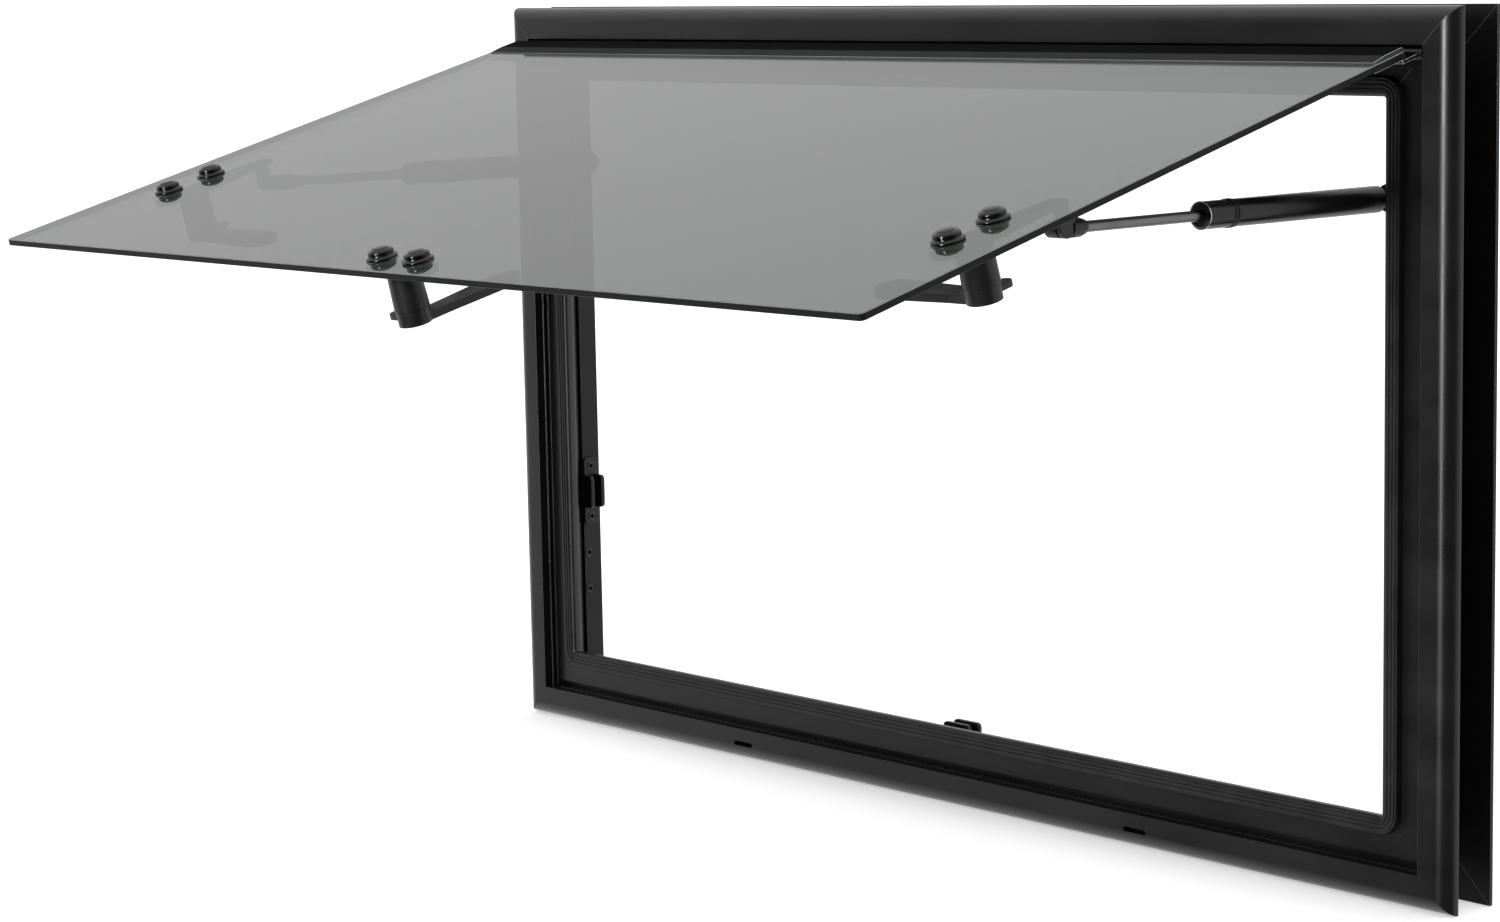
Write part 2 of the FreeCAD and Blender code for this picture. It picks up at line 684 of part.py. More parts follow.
def add_strut_ear(body, hand):
    """An arm of the plate that runs up to the strut, with an upright ear and a stud through the eye."""
    shift = STRUT_SIDE - LATCH_SIDE
    up = S.strut_drop - S.latch_drop
    ear_near = shift + S.eye_half + S.side_gap
    ear_far = ear_near + S.ear_thick
    arm = sketch_on(body, "XY_Plane", "arm")
    low_y = -S.bolt_spacing / 2
    corners = [
        (S.plate_radius, low_y), (-S.plate_radius, low_y),
        (-S.ear_thick, up - S.eye_radius), (ear_far, up - S.eye_radius)]
    draw(arm, [(x * hand, y) for x, y in corners])
    pad(body, arm, S.plate_thick)
    ear = sketch_on(body, "YZ_Plane", "ear", ear_near if hand > 0 else -ear_far)
    draw(ear, [
        (up + S.eye_radius, S.plate_thick / 2), (up + S.eye_radius, PIVOT_HEIGHT),
        (up - S.eye_radius, PIVOT_HEIGHT, up, PIVOT_HEIGHT, 1),
        (up - S.eye_radius, S.plate_thick / 2)])
    pad(body, ear, S.ear_thick)
    reach = S.eye_half * 2 + S.side_gap * 2
    stud = sketch_on(body, "YZ_Plane", "stud", ear_near - reach if hand > 0 else -ear_near)
    draw_circle(stud, up, PIVOT_HEIGHT, S.stud_diameter / 2)
    pad(body, stud, reach)


def latch_lever(name, hand):
    """A handle and a hook at right angles on one hub, with the pin that turns in the post."""
    body = new_body(name + "_latch_lever")
    quarters = ("left", "upper", "right", "lower").index(name)
    hub = sketch_on(body, "XY_Plane", "hub")
    draw_circle(hub, 0, 0, S.hub_radius)
    pad(body, hub, S.hub_height)
    handle = sketch_on(body, "XY_Plane", "handle", S.hub_height - S.handle_thick)
    tip, corner = S.handle_reach, S.handle_corner
    draw(handle, turned([
        (as_size(0), -S.handle_root), (S.hub_radius * 2, -S.handle_root),
        (tip - corner * 2, -S.handle_tip), (tip - corner, -S.handle_tip),
        (tip, corner - S.handle_tip), (tip, S.handle_tip - corner), (tip - corner, S.handle_tip),
        (tip - corner * 2, S.handle_tip), (S.hub_radius * 2, S.handle_root),
        (as_size(0), S.handle_root)], quarters))
    pad(body, handle, S.handle_thick)
    round_edges(body, "Chamfer", S.handle_web,
                lambda edge: at_height(edge, S.hub_height - S.handle_thick)
                and abs(edge.BoundBox.DiagonalLength) < S.hub_radius.value * 2
                and edge.Curve.TypeId == "Part::GeomCircle")
    hook = sketch_on(body, "XY_Plane", "hook", S.hook_start)
    end = S.hook_reach - S.hook_half
    draw(hook, turned([
        (-S.hook_half, as_size(0)), (-S.hook_half, end * hand),
        (S.hook_half, end * hand, as_size(0), end * hand, -hand),
        (S.hook_half, as_size(0))], quarters))
    pad(body, hook, S.hook_thick)
    pin = sketch_on(body, "XY_Plane", "pin", -S.pin_length)
    draw_circle(pin, 0, 0, S.pin_radius)
    pad(body, pin, S.pin_length + S.hub_height / 2)
    x, down = latch_place(name)
    place_on_pane(body, x, down, S.post_height + S.lever_gap - S.pane_lift)


# The struts' own frame has Z from the frame pivot to the pane pivot and X across
def place_strut(thing, sign):
    base = (STRUT_SIDE * sign, STRUT_FOOT_DEPTH - S.flange_depth, STRUT_FOOT_Z)
    angle = heading(STRUT_RUN, STRUT_RISE)
    place(thing, base, FreeCAD.Rotation(ACROSS, angle.value))
    bind(thing, "Placement.Rotation.Angle", angle)


def add_eye(body, centre, towards):
    """A flat eye about a stud that lies across, joined to its fitting by a block."""
    radius = S.eye_radius
    blade = sketch_on(body, "YZ_Plane", "blade", -S.eye_half)
    stem = centre + towards * S.end_length / 2
    draw(blade, [
        (-radius, centre), (radius, centre, 0, centre, towards), (radius, stem), (-radius, stem)])
    pad(body, blade, S.eye_half * 2)
    hole = sketch_on(body, "YZ_Plane", "hole", -S.eye_half)
    draw_circle(hole, 0, centre, S.stud_diameter / 2 + S.stud_gap)
    pocket(body, hole, S.eye_half * 2, reverse=True)


def strut_tube(name, sign):
    """The pressure tube with its rolled neck, and the eye on the frame pivot."""
    body = new_body(name + "_strut_tube")
    radius = S.tube_diameter / 2
    bore = S.rod_diameter / 2 + S.stud_gap
    start = S.end_length / 2 - S.stem_lap
    neck = S.tube_end - S.tube_neck
    bulge = S.neck_depth
    profile = sketch_on(body, "XZ_Plane", "profile")
    draw(profile, [
        (0, start), (radius - bulge * 2, start), (radius, start + bulge * 3),
        (radius, neck - bulge), (radius - bulge, neck), (radius, neck + bulge),
        (radius, S.tube_end - bulge * 2), (radius - bulge * 2, S.tube_end),
        (bore, S.tube_end), (bore, S.tube_end - S.tube_neck), (0, S.tube_end - S.tube_neck)])
    revolve(body, profile)
    add_eye(body, as_size(0), 1)
    place_strut(body, sign)


def strut_rod(name, sign):
    body = new_body(name + "_strut_rod")
    section = sketch_on(body, "XY_Plane", "section", S.tube_end - S.tube_neck)
    draw_circle(section, 0, 0, S.rod_diameter / 2)
    pad(body, section, STRUT_LENGTH - S.end_length - S.tube_end + S.tube_neck)
    place_strut(body, sign)


def rod_end(name, sign):
    """The fitting on the rod's end, a tapered socket with the eye on the pane pivot."""
    body = new_body(name + "_rod_end")
    wide = S.tube_diameter * 0.34
    thin = S.rod_diameter / 2 + S.socket_wall
    start = STRUT_LENGTH - S.end_length
    stem = STRUT_LENGTH - S.end_length / 2 + S.stem_lap
    profile = sketch_on(body, "XZ_Plane", "profile")
    draw(profile, [
        (0, start), (thin, start), (wide, start + thin), (wide, stem), (0, stem)])
    revolve(body, profile)
    add_eye(body, STRUT_LENGTH, -1)
    place_strut(body, sign)


def strut_foot(name, sign):
    """The plate on the frame's leg with the stud that carries the strut."""
    body = new_body(name + "_strut_foot")
    face = S.overall_width / 2 - S.leg_inset - STRUT_SIDE
    half = S.strut_setback - S.ring_gap
    tall = S.foot_plate_half
    plate = sketch_on(body, "YZ_Plane", "plate", face - S.ear_thick if sign > 0 else -face)
    draw(plate, rounded_rectangle(-half * 2, -tall, half, tall, half / 2))
    pad(body, plate, S.ear_thick)
    boss = sketch_on(body, "YZ_Plane", "boss",
                     S.eye_half + S.side_gap if sign > 0 else S.ear_thick - face)
    draw_circle(boss, 0, 0, S.eye_radius)
    pad(body, boss, face - S.ear_thick - S.eye_half - S.side_gap)
    reach = S.eye_half + S.side_gap * 2
    stud = sketch_on(body, "YZ_Plane", "stud", -reach if sign > 0 else -reach)
    draw_circle(stud, 0, 0, S.stud_diameter / 2)
    pad(body, stud, reach * 2)
    place(body, (STRUT_SIDE * sign, STRUT_FOOT_DEPTH - S.flange_depth, STRUT_FOOT_Z), FreeCAD.Rotation())


def keeper(name, side, middle, lip_length, plate_length):
    """A plate on the clamp ring's leg with the lip that a latch's hook turns behind."""
    body = new_body(name)
    foot, rise = RING_INSET, RING_INSET + S.keeper_rise
    top = RING_INSET + S.keeper_thick
    plate = sketch_on(body, "YZ_Plane", "plate", middle - plate_length / 2)
    draw(plate, [
        (foot, LEG_START), (top, LEG_START), (top, KEEPER_BACK), (foot, KEEPER_BACK)])
    pad(body, plate, plate_length)
    lip = sketch_on(body, "YZ_Plane", "lip", middle - lip_length / 2)
    draw(lip, [
        (foot, LEG_START), (rise - S.keeper_thick, LEG_START),
        (rise, LEG_START + S.keeper_thick, rise - S.keeper_thick, LEG_START + S.keeper_thick, 1),
        (rise, LEG_START + S.keeper_lip), (foot, LEG_START + S.keeper_lip)])
    pad(body, lip, lip_length)
    place(body, *side_frame(side))


def write_parts():
    """Check every object, then write each piece to its own file."""
    DOCUMENT.recompute()
    for thing in DOCUMENT.Objects:
        faults = [word for word in thing.State if word in ("Invalid", "Error")]
        if faults:
            raise RuntimeError("%s is %s" % (thing.Label, faults))
    bodies = [thing for thing in DOCUMENT.Objects if thing.TypeId == "PartDesign::Body"]
    for body in bodies:
        if body.Shape.isNull() or not body.Shape.isValid() or not body.Shape.Solids:
            raise RuntimeError(body.Label + " has no valid solid")
    os.makedirs("parts", exist_ok=True)
    for body in bodies:
        body.Shape.exportStep("parts/%s.step" % body.Label)
        print("%-22s %d solid, %9.0f mm3" % (body.Label, len(body.Shape.Solids), body.Shape.Volume))


def main():
    for name, side in (("head_rail", "head"), ("sill_rail", "sill"), ("left_jamb", "left"),
                       ("right_jamb", "right")):
        frame_rail(name, side)
    for side in ("head", "sill", "left", "right"):
        clamp_rail("clamp_" + side, side)
        seal_rail("seal_" + side, side)
    hinge_channel()
    channel_start = (S.overall_width - LEAF_LENGTH) / 2
    hinge_end("left_hinge_stop", channel_start - S.hinge_stop)
    hinge_end("right_hinge_stop", channel_start + LEAF_LENGTH)
    hinge_leaf()
    glass_pane()
    for name, hand in (("left", -1), ("right", 1), ("lower", -1)):
        bolt_caps(name)
        latch_bracket(name)
        latch_lever(name, hand)
    for name, sign in (("left", -1), ("right", 1)):
        strut_tube(name, sign)
        strut_rod(name, sign)
        rod_end(name, sign)
        strut_foot(name, sign)
    low = S.overall_height - S.hinge_inset - S.latch_drop
    keeper("left_keeper", "left", low, S.keeper_length, S.keeper_plate)
    keeper("right_keeper", "right", S.overall_height - low, S.keeper_length, S.keeper_plate)
    keeper("sill_keeper", "sill", S.overall_width / 2, S.keeper_length, S.keeper_plate)
    write_parts()


main()
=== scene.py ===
import json
import math

import bmesh
import bpy
import numpy
from mathutils import Matrix, Vector


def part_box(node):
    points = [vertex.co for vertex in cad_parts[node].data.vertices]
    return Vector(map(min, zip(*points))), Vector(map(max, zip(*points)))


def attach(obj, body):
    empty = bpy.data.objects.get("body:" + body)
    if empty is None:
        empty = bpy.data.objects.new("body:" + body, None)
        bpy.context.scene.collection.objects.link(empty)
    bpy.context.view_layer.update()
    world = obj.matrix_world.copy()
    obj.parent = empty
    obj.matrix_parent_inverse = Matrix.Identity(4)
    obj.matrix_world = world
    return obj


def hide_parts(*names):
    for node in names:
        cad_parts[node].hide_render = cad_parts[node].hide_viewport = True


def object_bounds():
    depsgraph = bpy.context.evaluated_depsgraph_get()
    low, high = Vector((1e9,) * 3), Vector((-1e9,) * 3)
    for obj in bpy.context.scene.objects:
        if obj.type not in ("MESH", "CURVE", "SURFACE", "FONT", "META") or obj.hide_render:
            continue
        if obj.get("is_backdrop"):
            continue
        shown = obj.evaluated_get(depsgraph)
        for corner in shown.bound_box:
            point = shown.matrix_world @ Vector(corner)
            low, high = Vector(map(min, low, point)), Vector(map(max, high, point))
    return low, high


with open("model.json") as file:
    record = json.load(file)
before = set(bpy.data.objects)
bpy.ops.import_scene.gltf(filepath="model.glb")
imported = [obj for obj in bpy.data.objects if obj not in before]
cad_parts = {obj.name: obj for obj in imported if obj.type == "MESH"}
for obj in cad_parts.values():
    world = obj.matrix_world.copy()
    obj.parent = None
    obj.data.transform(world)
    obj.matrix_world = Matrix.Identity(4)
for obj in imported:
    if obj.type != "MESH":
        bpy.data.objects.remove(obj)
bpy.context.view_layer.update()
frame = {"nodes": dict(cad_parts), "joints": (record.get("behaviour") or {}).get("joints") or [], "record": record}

bl_info = {
    "name": "Caravan Window",
    "version": (1, 0, 0),
    "blender": (4, 5, 0),
    "location": "View3D > Sidebar > Window",
    "description": "Dresses a top-hung caravan window and sets it in a plain studio",
    "category": "Add Mesh",
}

SIDES = ("head", "sill", "left", "right")
RAILS = {"head": "head_rail", "sill": "sill_rail", "left": "left_jamb", "right": "right_jamb"}
LATCHES = ("left", "right", "lower")
HANDS = {"left": -1, "right": 1}

RECORD = frame["record"]
LOW = Vector([min(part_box(rail)[0][i] for rail in RAILS.values()) for i in range(3)])
HIGH = Vector([max(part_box(rail)[1][i] for rail in RAILS.values()) for i in range(3)])
ACROSS = Vector((1, 0, 0))
UP = Vector((0, 0, 1))
# The pane's outward normal is the axis that a lever turns on
NORMAL = Vector(next(joint["axis"] for joint in frame["joints"]
                     if joint["name"] == "left_latch_turn")).normalized()

# Outlines that are turned about their own axis, each point (radius, height[, True where hexagonal])
CAP = ((0.0060, 0.0), (0.0085, 0.0), (0.0089, 0.0004), (0.0090, 0.0009), (0.0088, 0.0014),
       (0.0078, 0.0021), (0.0073, 0.0023), (0.0072, 0.0026), (0.0073, 0.0029), (0.0073, 0.0040),
       (0.0070, 0.0047), (0.0062, 0.0053), (0.0052, 0.0056), (0.0050, 0.0056), (0.0048, 0.0059),
       (0.0040, 0.0063), (0.0024, 0.0066), (0.0, 0.0067))
SCREW = ((0.0033, 0.0), (0.0033, 0.0002), (0.0030, 0.0004), (0.0026, 0.0002), (0.0019, 0.00035),
         (0.0016, 0.00035), (0.0015, 0.0003, True), (0.0015, 0.00005, True), (0.0, 0.00005))
# A near-black hex plug filling a screw's socket, as painted shade in it
SOCKET_SHADE_PLUG = ((0.0015, 0.00001, True), (0.0015, 0.00037, True), (0.0, 0.00037))
HINGE_PIN = ((0.0028, 0.0), (0.0028, 0.0003), (0.0024, 0.0007), (0.0014, 0.0010), (0.0, 0.0011))
ROLLED_BAND = ((0.0074, 0.0), (0.0077, 0.0002), (0.0079, 0.0006), (0.0079, 0.0011),
               (0.0077, 0.0015), (0.0074, 0.0017))
END_RING = ((0.0074, 0.0), (0.00765, 0.0001), (0.00765, 0.0006), (0.0074, 0.0007))


class CoatLooks(bpy.types.PropertyGroup):
    """Looks of the powder-coated aluminium of the frame, ring and hinge."""
    colour: bpy.props.FloatVectorProperty(
        name="Coat", description="Colour of the powder coat", subtype="COLOR", size=4,
        min=0, max=1, default=(0.0050, 0.0051, 0.0056, 1))
    ring_colour: bpy.props.FloatVectorProperty(
        name="Ring coat", description="Colour of the clamp ring's coat", subtype="COLOR", size=4,
        min=0, max=1, default=(0.0022, 0.0022, 0.0025, 1))
    roughness: bpy.props.FloatProperty(
        name="Roughness", description="Roughness of the coat", min=0, max=1, default=0.30)
    grain: bpy.props.FloatProperty(
        name="Grain", description="Size of the coat's orange peel", unit="LENGTH", precision=5,
        min=0.0001, max=0.01, default=0.0011)
    edge: bpy.props.FloatProperty(
        name="Edge radius", description="Rounding of the extrusions' edges", unit="LENGTH",
        precision=5, min=0.00005, max=0.001, default=0.00032)
    # A light grey painted on the rounded edges as a painted highlight
    edge_highlight_colour: bpy.props.FloatVectorProperty(
        name="Edge", description="Colour of the thin, bright edges", subtype="COLOR", size=4,
        min=0, max=1, default=(0.028, 0.028, 0.0295, 1))


class GlassLooks(bpy.types.PropertyGroup):
    """Looks of the tinted pane."""
    tint: bpy.props.FloatVectorProperty(
        name="Tint", description="Colour of the tinted glass", subtype="COLOR", size=4,
        min=0, max=1, default=(0.046, 0.055, 0.049, 1))
    cover: bpy.props.FloatProperty(
        name="Cover", description="Share of the light that the tint holds back", min=0, max=1,
        default=0.82)
    roughness: bpy.props.FloatProperty(
        name="Roughness", description="Roughness of the polished faces", min=0, max=1, default=0.04)


class FittingLooks(bpy.types.PropertyGroup):
    """Looks and sizes of the caps, latches, struts and screws."""
    plastic: bpy.props.FloatVectorProperty(
        name="Plastic", description="Colour of the moulded plastic", subtype="COLOR", size=4,
        min=0, max=1, default=(0.0042, 0.0042, 0.0044, 1))
    strut_colour: bpy.props.FloatVectorProperty(
        name="Strut paint", description="Colour of the strut's paint", subtype="COLOR", size=4,
        min=0, max=1, default=(0.003, 0.003, 0.0034, 1))
    steel: bpy.props.FloatVectorProperty(
        name="Steel", description="Colour of the blackened rod and screws", subtype="COLOR", size=4,
        min=0, max=1, default=(0.16, 0.16, 0.165, 1))
    screw_head: bpy.props.FloatProperty(
        name="Screw head", description="Diameter of a screw's head", unit="LENGTH", precision=4,
        min=0.002, max=0.02, default=0.0066)
    screw_step: bpy.props.FloatProperty(
        name="Screw step", description="Distance of a keeper's screw from its middle", unit="LENGTH",
        precision=4, min=0.005, max=0.03, default=0.0180)
    seal_ridge: bpy.props.FloatProperty(
        name="Seal ridge", description="Height of the fine ridges on the seal", unit="LENGTH",
        precision=5, min=0, max=0.001, default=0.0006)


class StageLooks(bpy.types.PropertyGroup):
    """The plain studio."""
    floor: bpy.props.FloatVectorProperty(
        name="Floor", description="Colour of the floor", subtype="COLOR", size=4,
        min=0, max=1, default=(0.99, 0.99, 0.99, 1))
    light: bpy.props.FloatProperty(
        name="Light", description="Strength of the even light from all round", min=0, max=5,
        default=1.0)
    shade: bpy.props.FloatProperty(
        name="Shade", description="Share of the light that the dark side of the studio mirrors",
        min=0, max=1, default=0.02)
    strip: bpy.props.FloatProperty(
        name="Strip", description="Power of the upright strip light in front, in watts", min=0,
        max=1000, default=190)
    glow: bpy.props.FloatProperty(
        name="Glow", description="Light that the floor gives off by itself, as a light table",
        min=0, max=2, default=0.45)
    lens: bpy.props.FloatProperty(
        name="Lens", description="Focal length of the camera in millimetres", min=10, max=300,
        default=87.02)


def part_mesh(node):
    """A merged copy of a CAD node's mesh with its flat faces joined."""
    mesh = frame["nodes"][node].data.copy()
    work = bmesh.new()
    work.from_mesh(mesh)
    bmesh.ops.remove_doubles(work, verts=work.verts, dist=2e-6)
    bmesh.ops.dissolve_limit(work, angle_limit=math.radians(0.4), verts=work.verts,
                             edges=work.edges, delimit={"MATERIAL"})
    work.to_mesh(mesh)
    work.free()
    mesh.materials.clear()
    return mesh


def mesh_of(name, work):
    """The plain mesh of an edited one."""
    mesh = bpy.data.meshes.new(name)
    work.to_mesh(mesh)
    work.free()
    return mesh


def new_object(name, data):
    """A new object of the scene, at the origin."""
    piece = bpy.data.objects.new(name, data)
    bpy.context.scene.collection.objects.link(piece)
    return piece


def bake(piece):
    """Turn a piece with its modifiers into a plain mesh."""
    bpy.context.view_layer.update()
    graph = bpy.context.evaluated_depsgraph_get()
    mesh = bpy.data.meshes.new_from_object(piece.evaluated_get(graph), depsgraph=graph)
    mesh.name = piece.name
    piece.modifiers.clear()
    piece.data = mesh
    return mesh


def settle(piece, smooth=32):
    """Bake a piece, smooth but for its sharp edges, with its large faces shaded truly flat."""
    mesh = bake(piece)
    mesh.shade_smooth()
    mesh.set_sharp_from_angle(angle=math.radians(smooth))
    weights = piece.modifiers.new("Flat faces", "WEIGHTED_NORMAL")
    weights.keep_sharp = True
    weights.weight = 80
    bake(piece)
    return piece


def soften(piece, width, segments=2, angle=28, rim=False):
    """Round a piece's edges, with the second material on them as a painted highlight where rim is true."""
    bevel = piece.modifiers.new("Edges", "BEVEL")
    bevel.width = width
    bevel.segments = segments
    bevel.limit_method = "ANGLE"
    bevel.angle_limit = math.radians(angle)
    bevel.harden_normals = False
    # The second material on the bevel's faces is a painted highlight
    bevel.material = 1 if rim else -1
    return settle(piece, 40)


def finish_piece(piece, body, material, slot, *nodes):
    """Give a piece its material and its body, and hide the nodes that it stands for. The slot is not used."""
    if material is not None:
        piece.data.materials.clear()
        piece.data.materials.append(material)
    if nodes:
        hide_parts(*nodes)
    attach(piece, body)
    return piece


def turned_mesh(name, outline, segments=36):
    """A mesh turned about Z from (radius, height) and, for a hexagonal socket, a third True."""
    work = bmesh.new()
    rings = []
    for radius, height, *flats in outline:
        if radius < 1e-7:
            rings.append([work.verts.new((0, 0, height))])
            continue
        ring = []
        for i in range(segments):
            turn = 2 * math.pi * i / segments
            reach = radius
            if flats:
                reach *= math.cos(math.pi / 6) / math.cos(turn % (math.pi / 3) - math.pi / 6)
            ring.append(work.verts.new((reach * math.cos(turn), reach * math.sin(turn), height)))
        rings.append(ring)
    for low, high in zip(rings, rings[1:]):
        for i in range(segments):
            j = (i + 1) % segments
            corners = [low[i % len(low)], low[j % len(low)], high[j % len(high)], high[i % len(high)]]
            corners = list(dict.fromkeys(corners))
            if len(corners) > 2:
                work.faces.new(corners)
    for ring in (rings[0], rings[-1]):
        if len(ring) > 1:
            work.faces.new(ring)
    bmesh.ops.recalc_face_normals(work, faces=work.faces)
    return mesh_of(name, work)


def swept_ring(name, profile, corner, steps=6):
    """A closed profile of (inset, depth) swept round the window, its corners centred corner in."""
    work = bmesh.new()
    loops = []
    for inset, depth in profile:
        loop = []
        for turn in range(4):
            side = (1, -1, -1, 1)[turn]
            middle = HIGH.z - corner if turn < 2 else LOW.z + corner
            for step in range(steps + 1):
                angle = math.pi / 2 * (turn + step / steps)
                loop.append(work.verts.new((
                    side * (HIGH.x - corner) + (corner - inset) * math.cos(angle), LOW.y + depth,
                    middle + (corner - inset) * math.sin(angle))))
        loops.append(loop)
    for first, second in zip(loops, loops[1:] + loops[:1]):
        for i in range(len(first)):
            j = (i + 1) % len(first)
            work.faces.new((first[i], first[j], second[j], second[i]))
    bmesh.ops.recalc_face_normals(work, faces=work.faces)
    return mesh_of(name, work)


def slab(work, outline, turn, thick):
    """A plate from a flat outline of (across, up), laid by a matrix and raised by its thickness."""
    low = [work.verts.new(turn @ Vector((x, y, 0))) for x, y in outline]
    high = [work.verts.new(turn @ Vector((x, y, thick))) for x, y in outline]
    work.faces.new(low)
    work.faces.new(high)
    for i in range(len(low)):
        j = (i + 1) % len(low)
        work.faces.new((low[i], low[j], high[j], high[i]))


def rounded(left, low, right, high, top, bottom=0.0, steps=6):
    """The outline of a rectangle with round corners at its top and bottom."""
    points = []
    for x, y, radius, start in ((right, high, top, 0), (left, high, top, 1),
                                (left, low, bottom, 2), (right, low, bottom, 3)):
        if radius <= 0:
            points.append((x, y))
            continue
        cx = x - radius if x == right else x + radius
        cy = y - radius if y == high else y + radius
        for step in range(steps + 1):
            angle = math.pi / 2 * (start + step / steps)
            points.append((cx + radius * math.cos(angle), cy + radius * math.sin(angle)))
    return points


def axes(across, up, facing, place):
    """A matrix from three directions and a place."""
    rows = [Vector(v).normalized() for v in (across, up, facing)]
    turn = Matrix((rows[0], rows[1], rows[2])).transposed().to_4x4()
    return Matrix.Translation(Vector(place)) @ turn


def tree_with(name, sockets):
    """An empty tree with a geometry in and out and more named inputs, each (name, kind, default)."""
    tree = bpy.data.node_groups.new(name, "GeometryNodeTree")
    tree.interface.new_socket("Geometry", in_out="INPUT", socket_type="NodeSocketGeometry")
    for label, kind, default in sockets:
        socket = tree.interface.new_socket(label, in_out="INPUT", socket_type="NodeSocket" + kind)
        if default is not None:
            socket.default_value = default
    tree.interface.new_socket("Geometry", in_out="OUTPUT", socket_type="NodeSocketGeometry")
    return tree


def add_node(tree, kind, **inputs):
    """A node whose sockets, by name, are linked to or set to the given inputs."""
    node = tree.nodes.new(kind)
    for label, value in inputs.items():
        socket = node.inputs[label.replace("_", " ")]
        if isinstance(value, bpy.types.NodeSocket):
            tree.links.new(value, socket)
        else:
            socket.default_value = value
    return node


def grow(piece, tree, **values):
    """Run a tree on a piece with its named inputs set, and keep the plain mesh."""
    modifier = piece.modifiers.new(tree.name, "NODES")
    modifier.node_group = tree
    for socket in tree.interface.items_tree:
        label = socket.name.replace(" ", "_")
        if socket.in_out == "INPUT" and label in values:
            modifier[socket.identifier] = values[label]
    return settle(piece, 34)


def repeat_tree():
    """Sets a pattern on each point of a mesh, turned by the point's own two directions."""
    tree = tree_with("Repeat on points", [
        ("Pattern", "Object", None), ("Scale", "Float", 1.0), ("Material", "Material", None)])
    start = tree.nodes.new("NodeGroupInput")
    pattern = add_node(tree, "GeometryNodeObjectInfo", Object=start.outputs["Pattern"])
    turn = tree.nodes.new("FunctionNodeAxesToRotation")
    turn.primary_axis, turn.secondary_axis = "Z", "X"
    for direction, axis in (("facing", "Primary Axis"), ("across", "Secondary Axis")):
        named = tree.nodes.new("GeometryNodeInputNamedAttribute")
        named.data_type = "FLOAT_VECTOR"
        named.inputs["Name"].default_value = direction
        tree.links.new(named.outputs["Attribute"], turn.inputs[axis])
    points = add_node(tree, "GeometryNodeInstanceOnPoints", Points=start.outputs["Geometry"],
                      Instance=pattern.outputs["Geometry"], Rotation=turn.outputs["Rotation"],
                      Scale=start.outputs["Scale"])
    real = add_node(tree, "GeometryNodeRealizeInstances", Geometry=points.outputs["Instances"])
    coat = add_node(tree, "GeometryNodeSetMaterial", Geometry=real.outputs["Geometry"],
                    Material=start.outputs["Material"])
    end = tree.nodes.new("NodeGroupOutput")
    tree.links.new(coat.outputs["Geometry"], end.inputs["Geometry"])
    return tree


def points_mesh(name, places):
    """Points that know their directions, each place (point, facing, across)."""
    mesh = bpy.data.meshes.new(name)
    mesh.from_pydata([tuple(place[0]) for place in places], [], [])
    for label, index in (("facing", 1), ("across", 2)):
        data = mesh.attributes.new(label, "FLOAT_VECTOR", "POINT")
        for item, place in zip(data.data, places):
            item.vector = tuple(place[index])
    return mesh


def repeated(name, outline, places, material, scale=1.0):
    """A turned pattern set on each of several places by the repeating nodes."""
    pattern = new_object(name + "_pattern", turned_mesh(name + "_pattern", outline))
    piece = new_object(name, points_mesh(name + "_places", places))
    grow(piece, repeat_tree(), Pattern=pattern, Scale=scale, Material=material)
    bpy.data.objects.remove(pattern)
    return piece


def material_with(name, colour, roughness, metallic=0.0):
    """A new material and its parts: (material, tree, shader, object coordinates)."""
    material = bpy.data.materials.new(name)
    material.use_nodes = True
    material.diffuse_color = tuple(colour)
    tree = material.node_tree
    shader = tree.nodes["Principled BSDF"]
    shader.inputs["Base Color"].default_value = tuple(colour)
    shader.inputs["Roughness"].default_value = roughness
    shader.inputs["Metallic"].default_value = metallic
    coordinates = tree.nodes.new("ShaderNodeTexCoord")
    return material, tree, shader, coordinates.outputs["Object"]


def noise(tree, coordinates, size, detail=3.0, stretch=(1, 1, 1)):
    """A noise whose blobs are size metres across, stretched along the axes."""
    mapping = tree.nodes.new("ShaderNodeMapping")
    mapping.inputs["Scale"].default_value = [1 / s for s in stretch]
    tree.links.new(coordinates, mapping.inputs["Vector"])
    texture = tree.nodes.new("ShaderNodeTexNoise")
    texture.inputs["Scale"].default_value = 1 / size
    texture.inputs["Detail"].default_value = detail
    tree.links.new(mapping.outputs["Vector"], texture.inputs["Vector"])
    return texture.outputs["Fac"]


def span(tree, value, low, high, start=0.3, stop=0.7, kind="LINEAR"):
    """A value moved from between start and stop to between low and high."""
    node = tree.nodes.new("ShaderNodeMapRange")
    node.interpolation_type = kind
    node.inputs["From Min"].default_value = start
    node.inputs["From Max"].default_value = stop
    node.inputs["To Min"].default_value = low
    node.inputs["To Max"].default_value = high
    tree.links.new(value, node.inputs["Value"])
    return node.outputs["Result"]


def blend_colours(tree, share, first, second):
    """A colour between two, by a share from another node."""
    node = tree.nodes.new("ShaderNodeMix")
    node.data_type = "RGBA"
    tree.links.new(share, node.inputs["Factor"])
    colours = [s for s in node.inputs if s.type == "RGBA"]
    colours[0].default_value = tuple(first)
    colours[1].default_value = tuple(second)
    return next(s for s in node.outputs if s.type == "RGBA")


def bump(tree, shader, height, strength, distance):
    """Give a shader fine relief."""
    node = tree.nodes.new("ShaderNodeBump")
    node.inputs["Strength"].default_value = strength
    node.inputs["Distance"].default_value = distance
    tree.links.new(height, node.inputs["Height"])
    tree.links.new(node.outputs["Normal"], shader.inputs["Normal"])


def scaled(colour, factor):
    """A colour made lighter or darker by a factor."""
    return tuple(min(1.0, c * factor) for c in tuple(colour)[:3]) + (1.0,)


